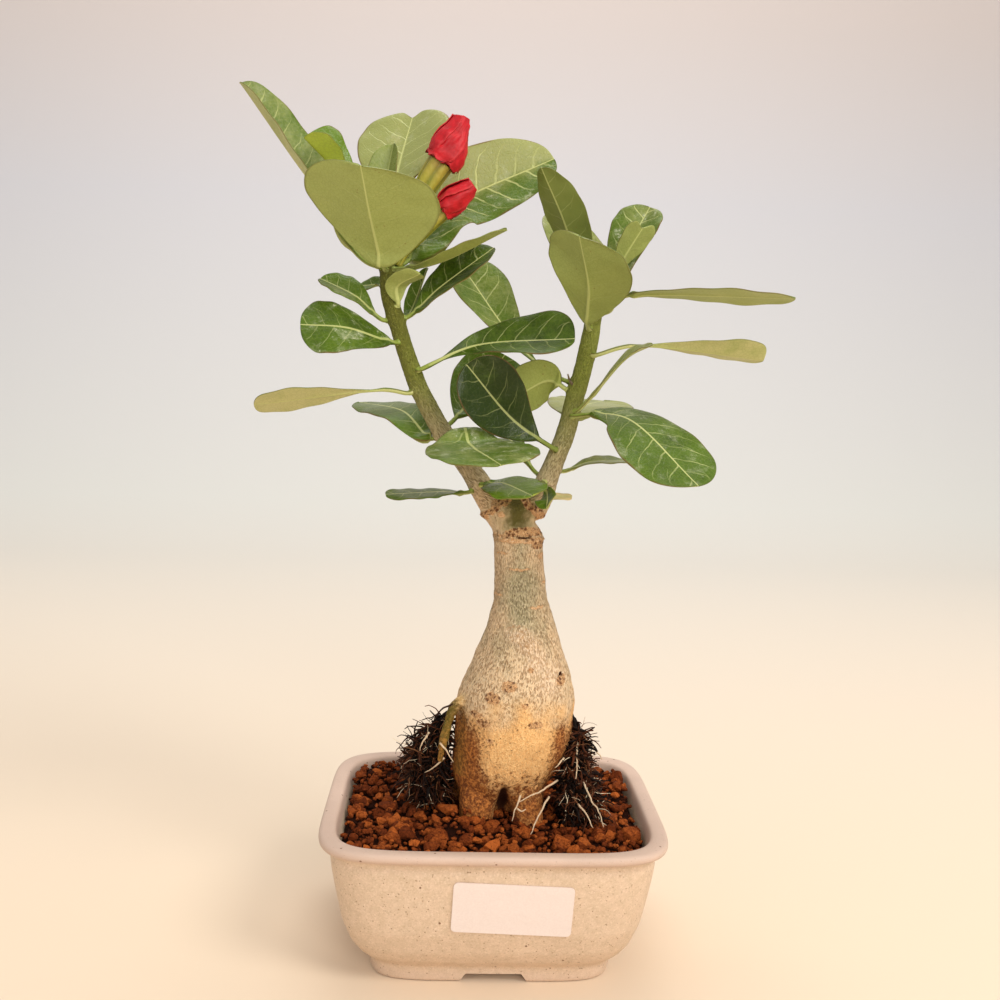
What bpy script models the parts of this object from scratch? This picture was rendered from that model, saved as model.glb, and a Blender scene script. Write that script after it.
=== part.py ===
"""A desert rose (Adenium) bonsai in its stoneware pot.

The plant is a bottle-shaped caudex on root legs, forking into two leafy branches, with two closed
buds at the top of the left one. It stands in red-brown lava granules. Sizes below are in
millimetres, +Z is up, the pot's front looks along -Y, and the origin is under the pot's middle.
"""

import math
import random
from collections import namedtuple

import bmesh
import bpy
from mathutils import Matrix, Vector, noise

MM = 0.001
GAP = 0.3
SEED = 11

# Pot: half sizes of the rim, and how far the outline lies inside the rim at each height.
POT_HALF_WIDTH = 62.5
POT_HALF_DEPTH = 56.5
POT_HEIGHT = 53.8
POT_SQUARENESS = 6.0
POT_SIDES = 40
FOOT_HEIGHT = 3.3
POT_OUTSIDE = (
    (27.0, FOOT_HEIGHT),
    (26.5, 0.0),
    (19.2, 0.0),
    (18.4, 0.9),
    (18.0, 6.0),
    (14.0, 9.5),
    (11.0, 14.0),
    (8.0, 22.0),
    (6.0, 32.0),
    (4.5, 42.0),
    (3.2, 49.6),
    (1.0, 50.1),
    (0.0, 51.5),
    (0.3, 53.1),
    (1.6, POT_HEIGHT),
)
POT_INSIDE = ((4.8, POT_HEIGHT), (6.2, 52.9), (7.4, 46.0), (10.0, 24.0), (14.0, 12.0), (20.0, 6.5))
NOTCH_BOTTOM_WIDTH = 24.5
NOTCH_TOP_WIDTH = 19.8
NOTCH_X = 1.0
DRAIN_RADIUS = 5.0
DRAIN_X = 17.0

# Label: blank, stuck on the pot's front a little askew.
LABEL_WIDTH = 41.5
LABEL_HEIGHT = 19.0
LABEL_CENTRE = (6.4, 33.0)
LABEL_TILT = -2.3
LABEL_THICKNESS = 0.4
LABEL_CORNER = 1.6

# Soil: a bed that fills the pot, heaped towards the plant, with granules sunk into its top.
SOIL_TOP = 47.6
SOIL_HEAP = 2.6
SOIL_HEAP_REACH = 30.0
GRANULE_SPACING = 9.8
GRANULE_RADII = (3.4, 5.6)

# Caudex: (height, middle x, half width) up the bottle, and its depth as a share of its width.
CAUDEX = (
    (53.5, 3.0, 9.5),
    (57.0, 3.0, 14.6),
    (62.5, 3.6, 18.2),
    (69.0, 4.8, 20.4),
    (77.0, 6.8, 21.8),
    (85.5, 8.0, 22.1),
    (93.5, 8.2, 22.1),
    (99.5, 8.6, 20.9),
    (105.5, 9.0, 18.8),
    (111.5, 9.3, 16.3),
    (118.0, 9.2, 13.9),
    (124.5, 9.2, 12.0),
    (131.5, 8.7, 10.2),
    (141.0, 8.1, 9.3),
    (151.0, 7.5, 9.2),
    (154.5, 7.2, 9.1),
    (158.5, 6.4, 8.4),
    (161.8, 5.0, 7.6),
    (165.5, 5.4, 8.8),
    (169.0, 5.6, 6.6),
    (171.0, 5.8, 2.6),
)
CAUDEX_DEPTH = 0.93
CAUDEX_SIDES = 20

# Roots and branches: (x, y, height, radius) along each.
ROOT_LEGS = (
    ((-4.0, -6.0, 65.0, 8.0), (-6.6, -9.5, 57.0, 7.6), (-7.6, -10.5, 49.0, 7.0), (-8.0, -11.0, 40.5, 5.5)),
    ((10.0, -8.0, 65.0, 8.0), (12.6, -11.0, 57.0, 7.4), (13.8, -13.0, 49.0, 6.4), (14.8, -14.0, 40.5, 4.8)),
    ((-4.0, 6.0, 65.0, 8.0), (-7.0, 9.0, 57.0, 7.6), (-8.5, 10.5, 49.0, 6.8), (-9.5, 11.0, 40.5, 5.0)),
    ((10.0, 6.0, 65.0, 8.0), (13.0, 9.0, 57.0, 7.2), (14.5, 10.5, 49.0, 6.2), (15.5, 11.0, 40.5, 4.8)),
)
GREEN_ROOT = (
    (-9.5, -6.0, 95.5, 2.4),
    (-15.0, -8.4, 91.5, 2.1),
    (-17.4, -10.4, 85.0, 1.7),
    (-19.0, -12.0, 78.5, 1.5),
    (-20.0, -12.8, 72.0, 0.9),
)
DRY_STUB = ((26.5, 2.0, 211.0, 0.9), (24.4, 0.5, 213.0, 0.8), (23.5, 0.0, 216.0, 0.4))
BRANCHES = {
    "left": (
        (2.5, 0.0, 159.5, 5.4),
        (-5.6, 0.0, 170.8, 4.7),
        (-11.3, -0.5, 179.3, 3.9),
        (-22.2, -2.0, 193.4, 3.6),
        (-29.4, -3.0, 206.2, 3.4),
        (-33.2, -4.0, 214.5, 3.3),
        (-36.6, -5.0, 224.2, 3.1),
        (-39.4, -6.0, 233.0, 3.0),
        (-42.4, -7.0, 242.7, 2.9),
        (-42.9, -8.0, 252.6, 2.5),
        (-42.9, -8.0, 254.2, 1.0),
    ),
    "right": (
        (7.0, 0.0, 162.5, 4.4),
        (14.0, 0.0, 168.0, 4.9),
        (18.5, 1.0, 179.8, 3.8),
        (23.4, 2.0, 192.6, 3.6),
        (26.6, 3.0, 206.0, 3.5),
        (29.9, 4.0, 218.9, 3.4),
        (32.3, 5.0, 231.8, 3.2),
        (33.3, 6.0, 241.8, 2.7),
        (33.5, 6.2, 243.2, 1.0),
    ),
}
BRANCH_SIDES = 12

# Root masses: dark fibrous clumps against the caudex, (x, y, height, radius) from the top down.
ROOT_MASSES = {
    "root_mass_left": (
        (-14.6, 2.0, 91.5, 1.8),
        (-17.8, 2.0, 85.0, 4.2),
        (-21.6, 2.0, 77.0, 8.0),
        (-23.2, 3.0, 68.5, 10.0),
        (-22.4, 4.0, 60.5, 9.6),
        (-21.4, 5.0, 53.5, 9.0),
        (-20.8, 6.0, 46.5, 6.8),
    ),
    "root_mass_right": (
        (28.6, -3.0, 89.5, 1.6),
        (30.2, -3.5, 83.0, 3.0),
        (30.6, -4.5, 75.5, 4.6),
        (30.2, -6.0, 67.5, 6.2),
        (30.6, -8.0, 59.5, 8.6),
        (31.4, -9.0, 53.5, 9.4),
        (31.4, -9.0, 46.5, 7.6),
    ),
}
MASS_SIDES = 14
MASS_ROUGHNESS = 0.16
ROOTLETS_PER_MASS = 8
ROOTLET_FLOOR = 56.0

# Buds: (x, y, height, radius) along the green tube, then up the red twist of petals.
BUDS = {
    "bud_large": (
        (
            (-41.0, -4.4, 255.4, 1.2),
            (-38.4, -3.4, 261.6, 1.6),
            (-34.6, -3.2, 270.8, 2.6),
            (-31.0, -3.8, 278.8, 3.8),
            (-28.0, -4.4, 284.1, 4.4),
            (-24.6, -5.0, 289.2, 4.7),
        ),
        (
            (-24.3, -5.1, 289.6, 5.8),
            (-23.1, -5.3, 291.4, 6.7),
            (-22.0, -5.3, 294.6, 6.8),
            (-20.6, -5.5, 298.3, 5.8),
            (-19.0, -5.7, 301.7, 4.3),
            (-17.9, -5.9, 305.1, 3.0),
        ),
    ),
    "bud_small": (
        (
            (-38.9, -9.6, 252.0, 1.1),
            (-36.1, -9.4, 257.4, 1.5),
            (-31.9, -9.2, 262.9, 2.5),
            (-27.7, -9.6, 267.9, 3.1),
            (-23.6, -10.0, 272.0, 3.4),
        ),
        (
            (-23.2, -10.1, 272.4, 4.1),
            (-21.8, -10.4, 273.8, 5.0),
            (-19.2, -10.8, 276.0, 5.0),
            (-16.0, -11.4, 278.6, 4.0),
            (-13.2, -12.0, 281.0, 2.7),
        ),
    ),
}
PETALS = 5
PETAL_TWIST = 150.0
PETAL_DEPTH = 0.2

# Leaves: where each joins its branch (height, and azimuth from +X through +Y), two points that its
# midrib runs through, the way its upper face looks (azimuth and elevation), its width, how far its
# halves fold up, where the blade starts and is widest along the midrib, and a notch in its tip.
LEAF_FIELDS = "branch height azimuth middle tip facing width fold start peak notch"
Leaf = namedtuple("Leaf", LEAF_FIELDS, defaults=(0,))
LEAVES = {
    "leaf_left_01": Leaf("left", 252, 177, (-73, 5, 284), (-98, 9, 317), (-28, 31), 24, 38, 0.16, 0.65),
    "leaf_left_02": Leaf("left", 252, 226, (-60, -4, 282), (-73, -6, 296), (-11, 13), 24, 56, 0.16, 0.78),
    "leaf_left_03": Leaf("left", 252, 90, (-42, 17, 284), (-36, 33, 314), (-117, 21), 40, 10, 0.44, 0.66, 3),
    "leaf_left_04": Leaf("left", 252, 134, (-45, -2, 275), (-42, 1, 296), (-119, 14), 16, 40, 0.16, 0.64),
    "leaf_left_05": Leaf("left", 251, 260, (-47, -27, 264), (-50, -44, 281), (60, 52), 50, 10, 0.12, 0.68),
    "leaf_left_06": Leaf("left", 252, 10, (-21, 11, 276), (17, 14, 295), (-105, 15), 34, 24, 0.12, 0.55),
    "leaf_left_07": Leaf("left", 251, 323, (-24, -12, 254), (-1, -18, 265), (-175, 71), 16, 19, 0.16, 0.63),
    "leaf_left_08": Leaf("left", 233, 357, (-24, -7, 245), (-5, -3, 260), (-129, 36), 18, 21, 0.13, 0.69),
    "leaf_left_09": Leaf("left", 238, 310, (-39, -12, 245), (-31, -19, 249), (115, 54), 11, 17, 0.10, 0.68),
    "leaf_left_10": Leaf("left", 233, 31, (-34, 3, 238), (-29, 6, 253), (-135, 47), 9, 39, 0.16, 0.66),
    "leaf_left_11": Leaf("left", 215, 314, (-10, -6, 225), (24, -18, 228), (-56, 34), 25, 23, 0.14, 0.83),
    "leaf_left_12": Leaf("left", 234, 191, (-54, -8, 241), (-67, -5, 247), (-52, 43), 15, 21, 0.18, 0.69),
    "leaf_left_13": Leaf("left", 241, 115, (-45, 8, 246), (-55, 14, 246), (-72, 46), 9, 20, 0.16, 0.66),
    "leaf_left_14": Leaf("left", 226, 239, (-56, -17, 229.5), (-72, -20, 230), (-31, 30), 25, 0, 0.08, 0.70),
    "leaf_left_15": Leaf("left", 209, 208, (-47, -11, 208), (-88, -19, 202), (107, 62), 19, 2, 0.41, 0.84),
    "leaf_left_16": Leaf("left", 193, 170, (-37, 7, 200), (-55, 31, 202), (-71, 59), 20, 0, 0.06, 0.59),
    "leaf_left_17": Leaf("left", 194, 36, (-11, 9, 206), (1, 18, 222), (-115, 14), 29, 3, 0.15, 0.73),
    "leaf_left_18": Leaf("left", 189, 319, (-9, -26, 188), (-2, -46, 185), (-81, 64), 40, 5, 0.12, 0.56),
    "leaf_left_19": Leaf("left", 178, 60, (-5, 2, 184), (-4, 4, 190), (-90, 50), 8, 15, 0.16, 0.66),
    "leaf_left_20": Leaf("left", 174, 213, (-23, -2, 171), (-42, -7, 170), (-25, 76), 15, 0, 0.16, 0.65),
    "leaf_left_21": Leaf("left", 174, 282, (0, -14, 176), (10, -27, 173), (-74, 66), 25, 4, 0.16, 0.69),
    "leaf_right_01": Leaf("right", 212, 155, (6, 18, 226), (-17, 34, 257), (-59, 19), 27, 20, 0.20, 0.84),
    "leaf_right_02": Leaf("right", 187, 244, (3, -7, 199), (-14, -15, 218), (-77, 6), 26, 20, 0.22, 0.70),
    "leaf_right_03": Leaf("right", 209, 179, (16, 5, 213), (1, 3, 204), (91, 34), 21, 8, 0.20, 0.64),
    "leaf_right_04": Leaf("right", 177, 140, (5, 12, 189), (-1, 20, 190), (-49, 59), 15, 0, 0.16, 0.68),
    "leaf_right_05": Leaf("right", 175, 257, (16.8, -12, 172), (16, -19, 168), (-104, -21), 10, 30, 0.30, 0.61),
    "leaf_right_06": Leaf("right", 171, 318, (19, -8, 171), (26, -8, 171), (-91, 51), 4, 10, 0.16, 0.66),
    "leaf_right_07": Leaf("right", 200, 279, (45, -13, 200), (66, -38, 179), (-76, 65), 36, 1, 0.19, 0.72),
    "leaf_right_08": Leaf("right", 223, 309, (52, 2, 227), (98, 8, 223), (78, 64), 20, 19, 0.39, 0.85),
    "leaf_right_09": Leaf("right", 202, 286, (42, -12, 221), (52, -16, 227), (-177, 45), 11, 15, 0.16, 0.66),
    "leaf_right_10": Leaf("right", 199, 68, (32, 24, 203), (42, 42, 205), (-98, 77), 35, 3, 0.16, 0.68),
    "leaf_right_11": Leaf("right", 181, 24, (34, 6, 183), (52, 14, 183), (-85, 83), 13, 9, 0.17, 0.71),
    "leaf_right_12": Leaf("right", 232, 248, (28, -21, 247), (23, -33, 262), (-18, 73), 38, 8, 0.09, 0.73),
    "leaf_right_13": Leaf("right", 240, 166, (22, -3, 266), (11, -9, 288), (40, -10), 20, 16, 0.21, 0.45),
    "leaf_right_14": Leaf("right", 240, 99, (35, 14, 252), (17, 25, 277), (-53, -1), 24, 5, 0.16, 0.61),
    "leaf_right_15": Leaf("right", 242, 331, (40, -7, 255), (48, -16, 270), (114, 45), 14, 2, 0.21, 0.82, 3),
    "leaf_right_16": Leaf("right", 241, 40, (45, 6, 263), (53, 10, 278), (-121, 20), 21, 22, 0.16, 0.68),
    "leaf_right_17": Leaf("right", 239, 351, (44, -20, 244), (94, -45, 243), (116, 76), 21, 1, 0.46, 0.69),
}
LEAF_COLUMNS = (-1.0, -0.5, 0.0, 0.5, 1.0)
LEAF_RIB_THICKNESS = 1.5
LEAF_EDGE_SHARE = 0.5
PETIOLE_HALF_WIDTH = 0.9
LEAF_WAVE = 0.5
LEAF_WAVES = 9.0
LEAF_LAST_ROW = 0.95
NOTCH_REACH = 3.0


def material(name, colour, roughness):
    """A plain finish for one kind of piece."""
    found = bpy.data.materials.get(name)
    if found:
        return found
    made = bpy.data.materials.new(name)
    made.use_nodes = True
    shader = made.node_tree.nodes["Principled BSDF"]
    shader.inputs["Base Color"].default_value = (*colour, 1.0)
    shader.inputs["Roughness"].default_value = roughness
    shader.inputs["Metallic"].default_value = 0.0
    return made


def add_object(name, bm, finish, smooth_angle=None):
    """Turns a bmesh in millimetres into an object in metres."""
    bmesh.ops.scale(bm, vec=(MM, MM, MM), verts=bm.verts)
    mesh = bpy.data.meshes.new(name)
    bm.to_mesh(mesh)
    bm.free()
    if finish:
        mesh.materials.append(finish)
    if smooth_angle is not None:
        mesh.shade_smooth()
        mesh.set_sharp_from_angle(angle=math.radians(smooth_angle))
    made = bpy.data.objects.new(name, mesh)
    bonsai.objects.link(made)
    return made


def loft(rings):
    """A skin through rings that have the same number of points, with both ends closed."""
    bm = bmesh.new()
    loops = [[bm.verts.new(point) for point in ring] for ring in rings]
    for low, high in zip(loops, loops[1:]):
        for here in range(len(low)):
            there = (here + 1) % len(low)
            bm.faces.new((low[here], low[there], high[there], high[here]))
    bm.faces.new(list(reversed(loops[0])))
    bm.faces.new(loops[-1])
    bmesh.ops.recalc_face_normals(bm, faces=bm.faces)
    return bm


def swollen(stations, grow):
    """The same path, thicker and longer at both ends by one amount."""
    if not grow:
        return stations
    ends = []
    for end, near in ((stations[0], stations[1]), (stations[-1], stations[-2])):
        beyond = Vector(end[:3]) + (Vector(end[:3]) - Vector(near[:3])).normalized() * grow
        ends.append((*beyond, end[3] + grow))
    return (ends[0], *((x, y, z, radius + grow) for x, y, z, radius in stations[1:-1]), ends[1])


def path_rings(stations, sides, section=None, twist=0.0):
    """Rings square to a path of (x, y, z, radius). section(angle) scales the radius round a ring."""
    centres = [Vector(station[:3]) for station in stations]
    side = Vector((0.0, 1.0, 0.0))
    rings = []
    for index, centre in enumerate(centres):
        along = (centres[min(index + 1, len(centres) - 1)] - centres[max(index - 1, 0)]).normalized()
        side = (side - side.dot(along) * along).normalized()
        other = along.cross(side)
        turn = math.radians(twist) * index / (len(centres) - 1)
        ring = []
        for step in range(sides):
            angle = 2.0 * math.pi * step / sides
            reach = stations[index][3] * (section(angle) if section else 1.0)
            spun = angle + turn
            ring.append(centre + reach * (math.cos(spun) * side + math.sin(spun) * other))
        rings.append(ring)
    return rings


def evaluated_mesh(thing):
    bpy.context.view_layer.update()
    graph = bpy.context.evaluated_depsgraph_get()
    return bpy.data.meshes.new_from_object(thing.evaluated_get(graph))


def apply_modifiers(thing):
    mesh = evaluated_mesh(thing)
    thing.modifiers.clear()
    thing.data = mesh


def combine(thing, others, operation, solver="EXACT"):
    """Joins the other solids to this one, or cuts them from it, and removes them."""
    helpers = bpy.data.collections.new("helpers")
    bpy.context.scene.collection.children.link(helpers)
    for other in others:
        helpers.objects.link(other)
        bonsai.objects.unlink(other)
    modifier = thing.modifiers.new(operation.lower(), "BOOLEAN")
    modifier.operation = operation
    modifier.operand_type = "COLLECTION"
    modifier.collection = helpers
    modifier.solver = solver
    apply_modifiers(thing)
    for other in others:
        bpy.data.objects.remove(other)
    bpy.data.collections.remove(helpers)


def keep_largest_body(thing):
    """Drops the loose scraps that a cut leaves."""
    bm = bmesh.new()
    bm.from_mesh(thing.data)
    bodies = []
    unseen = set(bm.verts)
    while unseen:
        body = {unseen.pop()}
        edge_of_body = list(body)
        while edge_of_body:
            vert = edge_of_body.pop()
            for edge in vert.link_edges:
                near = edge.other_vert(vert)
                if near in unseen:
                    unseen.remove(near)
                    body.add(near)
                    edge_of_body.append(near)
        bodies.append(body)
    bodies.sort(key=len)
    scraps = [vert for body in bodies[:-1] for vert in body]
    bmesh.ops.delete(bm, geom=scraps, context="VERTS")
    bm.to_mesh(thing.data)
    bm.free()


def pot_ring(inset, height):
    """The pot's rounded outline at one height, inset from the rim."""
    power = 2.0 / POT_SQUARENESS
    ring = []
    for step in range(POT_SIDES):
        angle = 2.0 * math.pi * step / POT_SIDES
        across = math.copysign(abs(math.cos(angle)) ** power, math.cos(angle))
        back = math.copysign(abs(math.sin(angle)) ** power, math.sin(angle))
        ring.append(Vector(((POT_HALF_WIDTH - inset) * across, (POT_HALF_DEPTH - inset) * back, height)))
    return ring


def inset_at(profile, height):
    """How far the pot's wall lies inside the rim at one height."""
    for (inset_low, low), (inset_high, high) in zip(profile, profile[1:]):
        if low <= height <= high:
            return inset_low + (inset_high - inset_low) * (height - low) / (high - low)
    raise ValueError("no wall at that height")


def notch_cutter():
    """A channel with slanted sides from front to back, which leaves the pot on its end feet."""
    half_bottom = NOTCH_BOTTOM_WIDTH / 2
    half_top = NOTCH_TOP_WIDTH / 2
    profile = ((-half_bottom, -1.0), (half_bottom, -1.0), (half_bottom, 0.0))
    profile += ((half_top, FOOT_HEIGHT), (-half_top, FOOT_HEIGHT), (-half_bottom, 0.0))
    rings = [[Vector((x + NOTCH_X, y, z)) for x, z in profile] for y in (-POT_HALF_DEPTH, POT_HALF_DEPTH)]
    return add_object("notch", loft(rings), None)


def drain_cutter(x):
    rings = path_rings(((x, 0.0, 0.5, DRAIN_RADIUS), (x, 0.0, 12.0, DRAIN_RADIUS)), 16)
    return add_object("drain", loft(rings), None)


def make_pot():
    rings = [pot_ring(inset, height) for inset, height in POT_OUTSIDE + POT_INSIDE]
    finish = material("speckled_stoneware", (0.66, 0.55, 0.44), 0.55)
    pot = add_object("pot", loft(rings), finish, smooth_angle=35)
    combine(pot, [notch_cutter(), drain_cutter(-DRAIN_X), drain_cutter(DRAIN_X)], "DIFFERENCE")


def rounded_rectangle(width, height, corner, steps=4):
    points = []
    for turn, (x, y) in enumerate(((1, 1), (-1, 1), (-1, -1), (1, -1))):
        middle = (x * (width / 2 - corner), y * (height / 2 - corner))
        for step in range(steps + 1):
            angle = math.radians(90 * turn + 90 * step / steps)
            points.append((middle[0] + corner * math.cos(angle), middle[1] + corner * math.sin(angle)))
    return points


def make_label():
    """A thin blank plate that follows the slope of the pot's front."""
    tilt = math.radians(LABEL_TILT)
    wall = POT_OUTSIDE[4:11]
    bm = bmesh.new()
    verts = []
    for across, up in rounded_rectangle(LABEL_WIDTH, LABEL_HEIGHT, LABEL_CORNER):
        x = LABEL_CENTRE[0] + across * math.cos(tilt) - up * math.sin(tilt)
        z = LABEL_CENTRE[1] + across * math.sin(tilt) + up * math.cos(tilt)
        inset = inset_at(wall, z)
        bow = (1.0 - abs(x / (POT_HALF_WIDTH - inset)) ** POT_SQUARENESS) ** (1.0 / POT_SQUARENESS)
        verts.append(bm.verts.new((x, -(POT_HALF_DEPTH - inset) * bow - GAP, z)))
    bm.faces.new(verts)
    label = add_object("label", bm, material("label_paper", (0.9, 0.86, 0.84), 0.6))
    label.modifiers.new("flat triangles", "TRIANGULATE")
    plate = label.modifiers.new("plate", "SOLIDIFY")
    plate.thickness = LABEL_THICKNESS * MM
    plate.offset = 1.0
    apply_modifiers(label)


def caudex_bottle(grow):
    """The swollen trunk: elliptical rings with a slow noise, so that no two sides are alike."""
    rings = []
    for height, middle, half_width in CAUDEX:
        height = CAUDEX[0][0] - grow if height == CAUDEX[0][0] else height
        ring = []
        for step in range(CAUDEX_SIDES):
            angle = 2.0 * math.pi * step / CAUDEX_SIDES
            lump = 1.0 + 0.035 * noise.noise(Vector((math.cos(angle), math.sin(angle), height / 16.0)))
            reach = half_width * lump + grow
            ring.append(
                Vector((middle + reach * math.cos(angle), CAUDEX_DEPTH * reach * math.sin(angle), height))
            )
        rings.append(ring)
    return add_object("bottle", loft(rings), None)


def grown_path(stations, sides, grow):
    return add_object("path", loft(path_rings(swollen(stations, grow), sides)), None)


def make_caudex(name, grow=0.0):
    """The one grown piece: bottle, root legs, both branches, a green root and a dry stub."""
    caudex = caudex_bottle(grow)
    caudex.name = name
    limbs = [grown_path(leg, 12, grow) for leg in ROOT_LEGS]
    limbs += [grown_path(branch, BRANCH_SIDES, grow) for branch in BRANCHES.values()]
    limbs += [grown_path(GREEN_ROOT, 8, grow), grown_path(DRY_STUB, 6, grow)]
    combine(caudex, limbs, "UNION")
    caudex.data.materials.clear()
    caudex.data.materials.append(material("bark", (0.5, 0.38, 0.24), 0.75))
    caudex.data.shade_smooth()
    caudex.data.set_sharp_from_angle(angle=math.radians(50))
    return caudex


def granule(centre, radius, draw):
    """One lava crumb: a coarse ball, knocked out of round."""
    bm = bmesh.new()
    bmesh.ops.create_icosphere(bm, subdivisions=1, radius=radius)
    stretch = Matrix.Diagonal((draw.uniform(0.85, 1.2), draw.uniform(0.85, 1.2), draw.uniform(0.7, 0.95)))
    spin = Matrix.Rotation(draw.uniform(0, math.tau), 3, "Z") @ Matrix.Rotation(draw.uniform(0, 1.2), 3, "X")
    for vert in bm.verts:
        vert.co = spin @ (stretch @ (vert.co * draw.uniform(0.82, 1.1))) + centre
    return add_object("granule", bm, None)


def soil_height(x, y):
    return SOIL_TOP + SOIL_HEAP * math.exp(-(x * x + y * y) / SOIL_HEAP_REACH**2)


def inside_pot(x, y, margin):
    wall = inset_at(POT_INSIDE[::-1], SOIL_TOP) + GAP + margin
    across = abs(x / (POT_HALF_WIDTH - wall)) ** POT_SQUARENESS
    back = abs(y / (POT_HALF_DEPTH - wall)) ** POT_SQUARENESS
    return across + back < 1.0


def granule_places(draw):
    """Places in staggered rows, each shifted a little."""
    rows = int(POT_HALF_DEPTH // (GRANULE_SPACING * 0.87)) + 1
    columns = int(POT_HALF_WIDTH // GRANULE_SPACING) + 1
    for row in range(-rows, rows + 1):
        for column in range(-columns, columns + 1):
            x = GRANULE_SPACING * (column + 0.5 * (row % 2)) + draw.uniform(-1.6, 1.6)
            y = GRANULE_SPACING * 0.87 * row + draw.uniform(-1.6, 1.6)
            radius = draw.uniform(*GRANULE_RADII)
            if inside_pot(x, y, 1.25 * radius):
                yield Vector((x, y, soil_height(x, y) + draw.uniform(-0.6, 0.8))), radius


def soil_bed():
    """The fill of the pot, a gap inside its wall, with a low heap in the middle of its top."""
    floor = POT_INSIDE[-1][1] + GAP
    levels = (floor, 12.0, 24.0, SOIL_TOP - 1.0)
    rings = [pot_ring(inset_at(POT_INSIDE[::-1], level) + 1.5 * GAP, level) for level in levels]
    for share in (0.8, 0.5, 0.2):
        plan = [(share * point.x, share * point.y) for point in rings[3]]
        rings.append([Vector((x, y, soil_height(x, y))) for x, y in plan])
    return add_object("soil", loft(rings), material("lava_granules", (0.2, 0.075, 0.035), 0.95))


def make_soil(cutters):
    soil = soil_bed()
    draw = random.Random(SEED)
    granules = [granule(place, radius, draw) for place, radius in granule_places(draw)]
    combine(soil, granules, "UNION", "MANIFOLD")
    combine(soil, cutters, "DIFFERENCE", "MANIFOLD")
    keep_largest_body(soil)


def rootlet(start, heading, length, draw):
    """A hair root that leaves the clump, wanders and droops."""
    stations = []
    point = start.copy()
    for step in range(5):
        stations.append((point.x, point.y, max(point.z, ROOTLET_FLOOR), 0.55 - 0.05 * step))
        wander = Vector([draw.uniform(-0.35, 0.35) for _ in range(3)])
        heading = (heading + wander - Vector((0.0, 0.0, 0.22))).normalized()
        point = point + heading * length / 4
    return add_object("rootlet", loft(path_rings(stations, 4)), None)


def root_mass_body(name, grow):
    """A lumpy clump whose flat ends stay flat."""
    stations = ROOT_MASSES[name]
    rings = path_rings(swollen(stations, grow), MASS_SIDES)
    for ring, station in zip(rings, stations):
        axis = Vector(station[:3])
        for point in ring:
            lump = MASS_ROUGHNESS * noise.noise((axis + (point - axis).normalized() * station[3]) / 5.0)
            point += (point - axis) * lump
    return add_object(name, loft(rings), material("dark_roots", (0.035, 0.022, 0.016), 0.9))


def make_root_mass(name):
    """A dark clump with hair roots, cut back where the caudex stands."""
    mass = root_mass_body(name, 0.0)
    draw = random.Random(name)
    stations = ROOT_MASSES[name]
    hairs = []
    for index in range(ROOTLETS_PER_MASS):
        x, y, z, radius = stations[1 + index % 5]
        azimuth = math.radians(draw.uniform(150, 290) if x < 0 else draw.uniform(-110, 30))
        heading = Vector((math.cos(azimuth), math.sin(azimuth), draw.uniform(-0.2, 0.5))).normalized()
        start = Vector((x, y, max(z, ROOTLET_FLOOR + 2))) + heading * radius * 0.6
        hairs.append(rootlet(start, heading, radius * 0.4 + draw.uniform(4.0, 7.0), draw))
    combine(mass, hairs, "UNION", "MANIFOLD")
    combine(mass, [make_caudex("caudex_cutter", GAP)], "DIFFERENCE")
    keep_largest_body(mass)


def petal_section(angle):
    """Five overlapping petals round a closed bud: each rises slowly and drops over the next."""
    turn = angle / (2.0 * math.pi) * PETALS
    return 1.0 - PETAL_DEPTH * (turn - math.floor(turn))


def ribbed_section(angle):
    return 1.0 + 0.05 * math.cos(PETALS * angle)


def make_bud(name):
    tube, petals = BUDS[name]
    tube_bm = loft(path_rings(tube, 15, ribbed_section))
    add_object(name + "_tube", tube_bm, material("bud_tube", (0.5, 0.5, 0.12), 0.5), smooth_angle=60)
    petal_bm = loft(path_rings(petals, 4 * PETALS, petal_section, PETAL_TWIST))
    add_object(name + "_petals", petal_bm, material("bud_petals", (0.62, 0.02, 0.04), 0.45), smooth_angle=40)


def branch_at(branch, height):
    """(point on the axis, direction, radius) of a branch at one height."""
    stations = BRANCHES[branch]
    for low, high in zip(stations, stations[1:]):
        if low[2] <= height <= high[2]:
            share = (height - low[2]) / (high[2] - low[2])
            start, end = Vector(low[:3]), Vector(high[:3])
            return start.lerp(end, share), (end - start).normalized(), low[3] + (high[3] - low[3]) * share
    raise ValueError("the branch does not reach that height")


def hermite(start, start_slope, end, end_slope, t):
    return (
        (2 * t**3 - 3 * t**2 + 1) * start
        + (t**3 - 2 * t**2 + t) * start_slope
        + (3 * t**2 - 2 * t**3) * end
        + (t**3 - t**2) * end_slope
    )


def midrib(leaf, t):
    """The point at t, from 0 at the branch to 1 at the tip, on a curve that leaves the bark squarely."""
    axis, along, radius = branch_at(leaf.branch, leaf.height)
    outward = direction(leaf.azimuth, 0)
    outward = (outward - outward.dot(along) * along).normalized()
    base = axis + outward * (radius + GAP)
    middle, tip = Vector(leaf.middle), Vector(leaf.tip)
    through = (tip - base) * 0.5
    if t <= 0.5:
        return hermite(base, outward * (middle - base).length * 0.7, middle, through, 2 * t)
    return hermite(middle, through, tip, (tip - middle) * 1.1, 2 * t - 1)


def half_width(leaf, share):
    """Half the blade's width at a share of its length: narrow at the base, widest at the peak."""
    if share <= 0.0:
        return PETIOLE_HALF_WIDTH
    blunt = 0.42
    slender = blunt * leaf.peak / (1.0 - leaf.peak)
    crest = leaf.peak**slender * (1.0 - leaf.peak) ** blunt
    form = share**slender * (1.0 - share) ** blunt / crest
    return max(PETIOLE_HALF_WIDTH, leaf.width / 2 * form)


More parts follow.
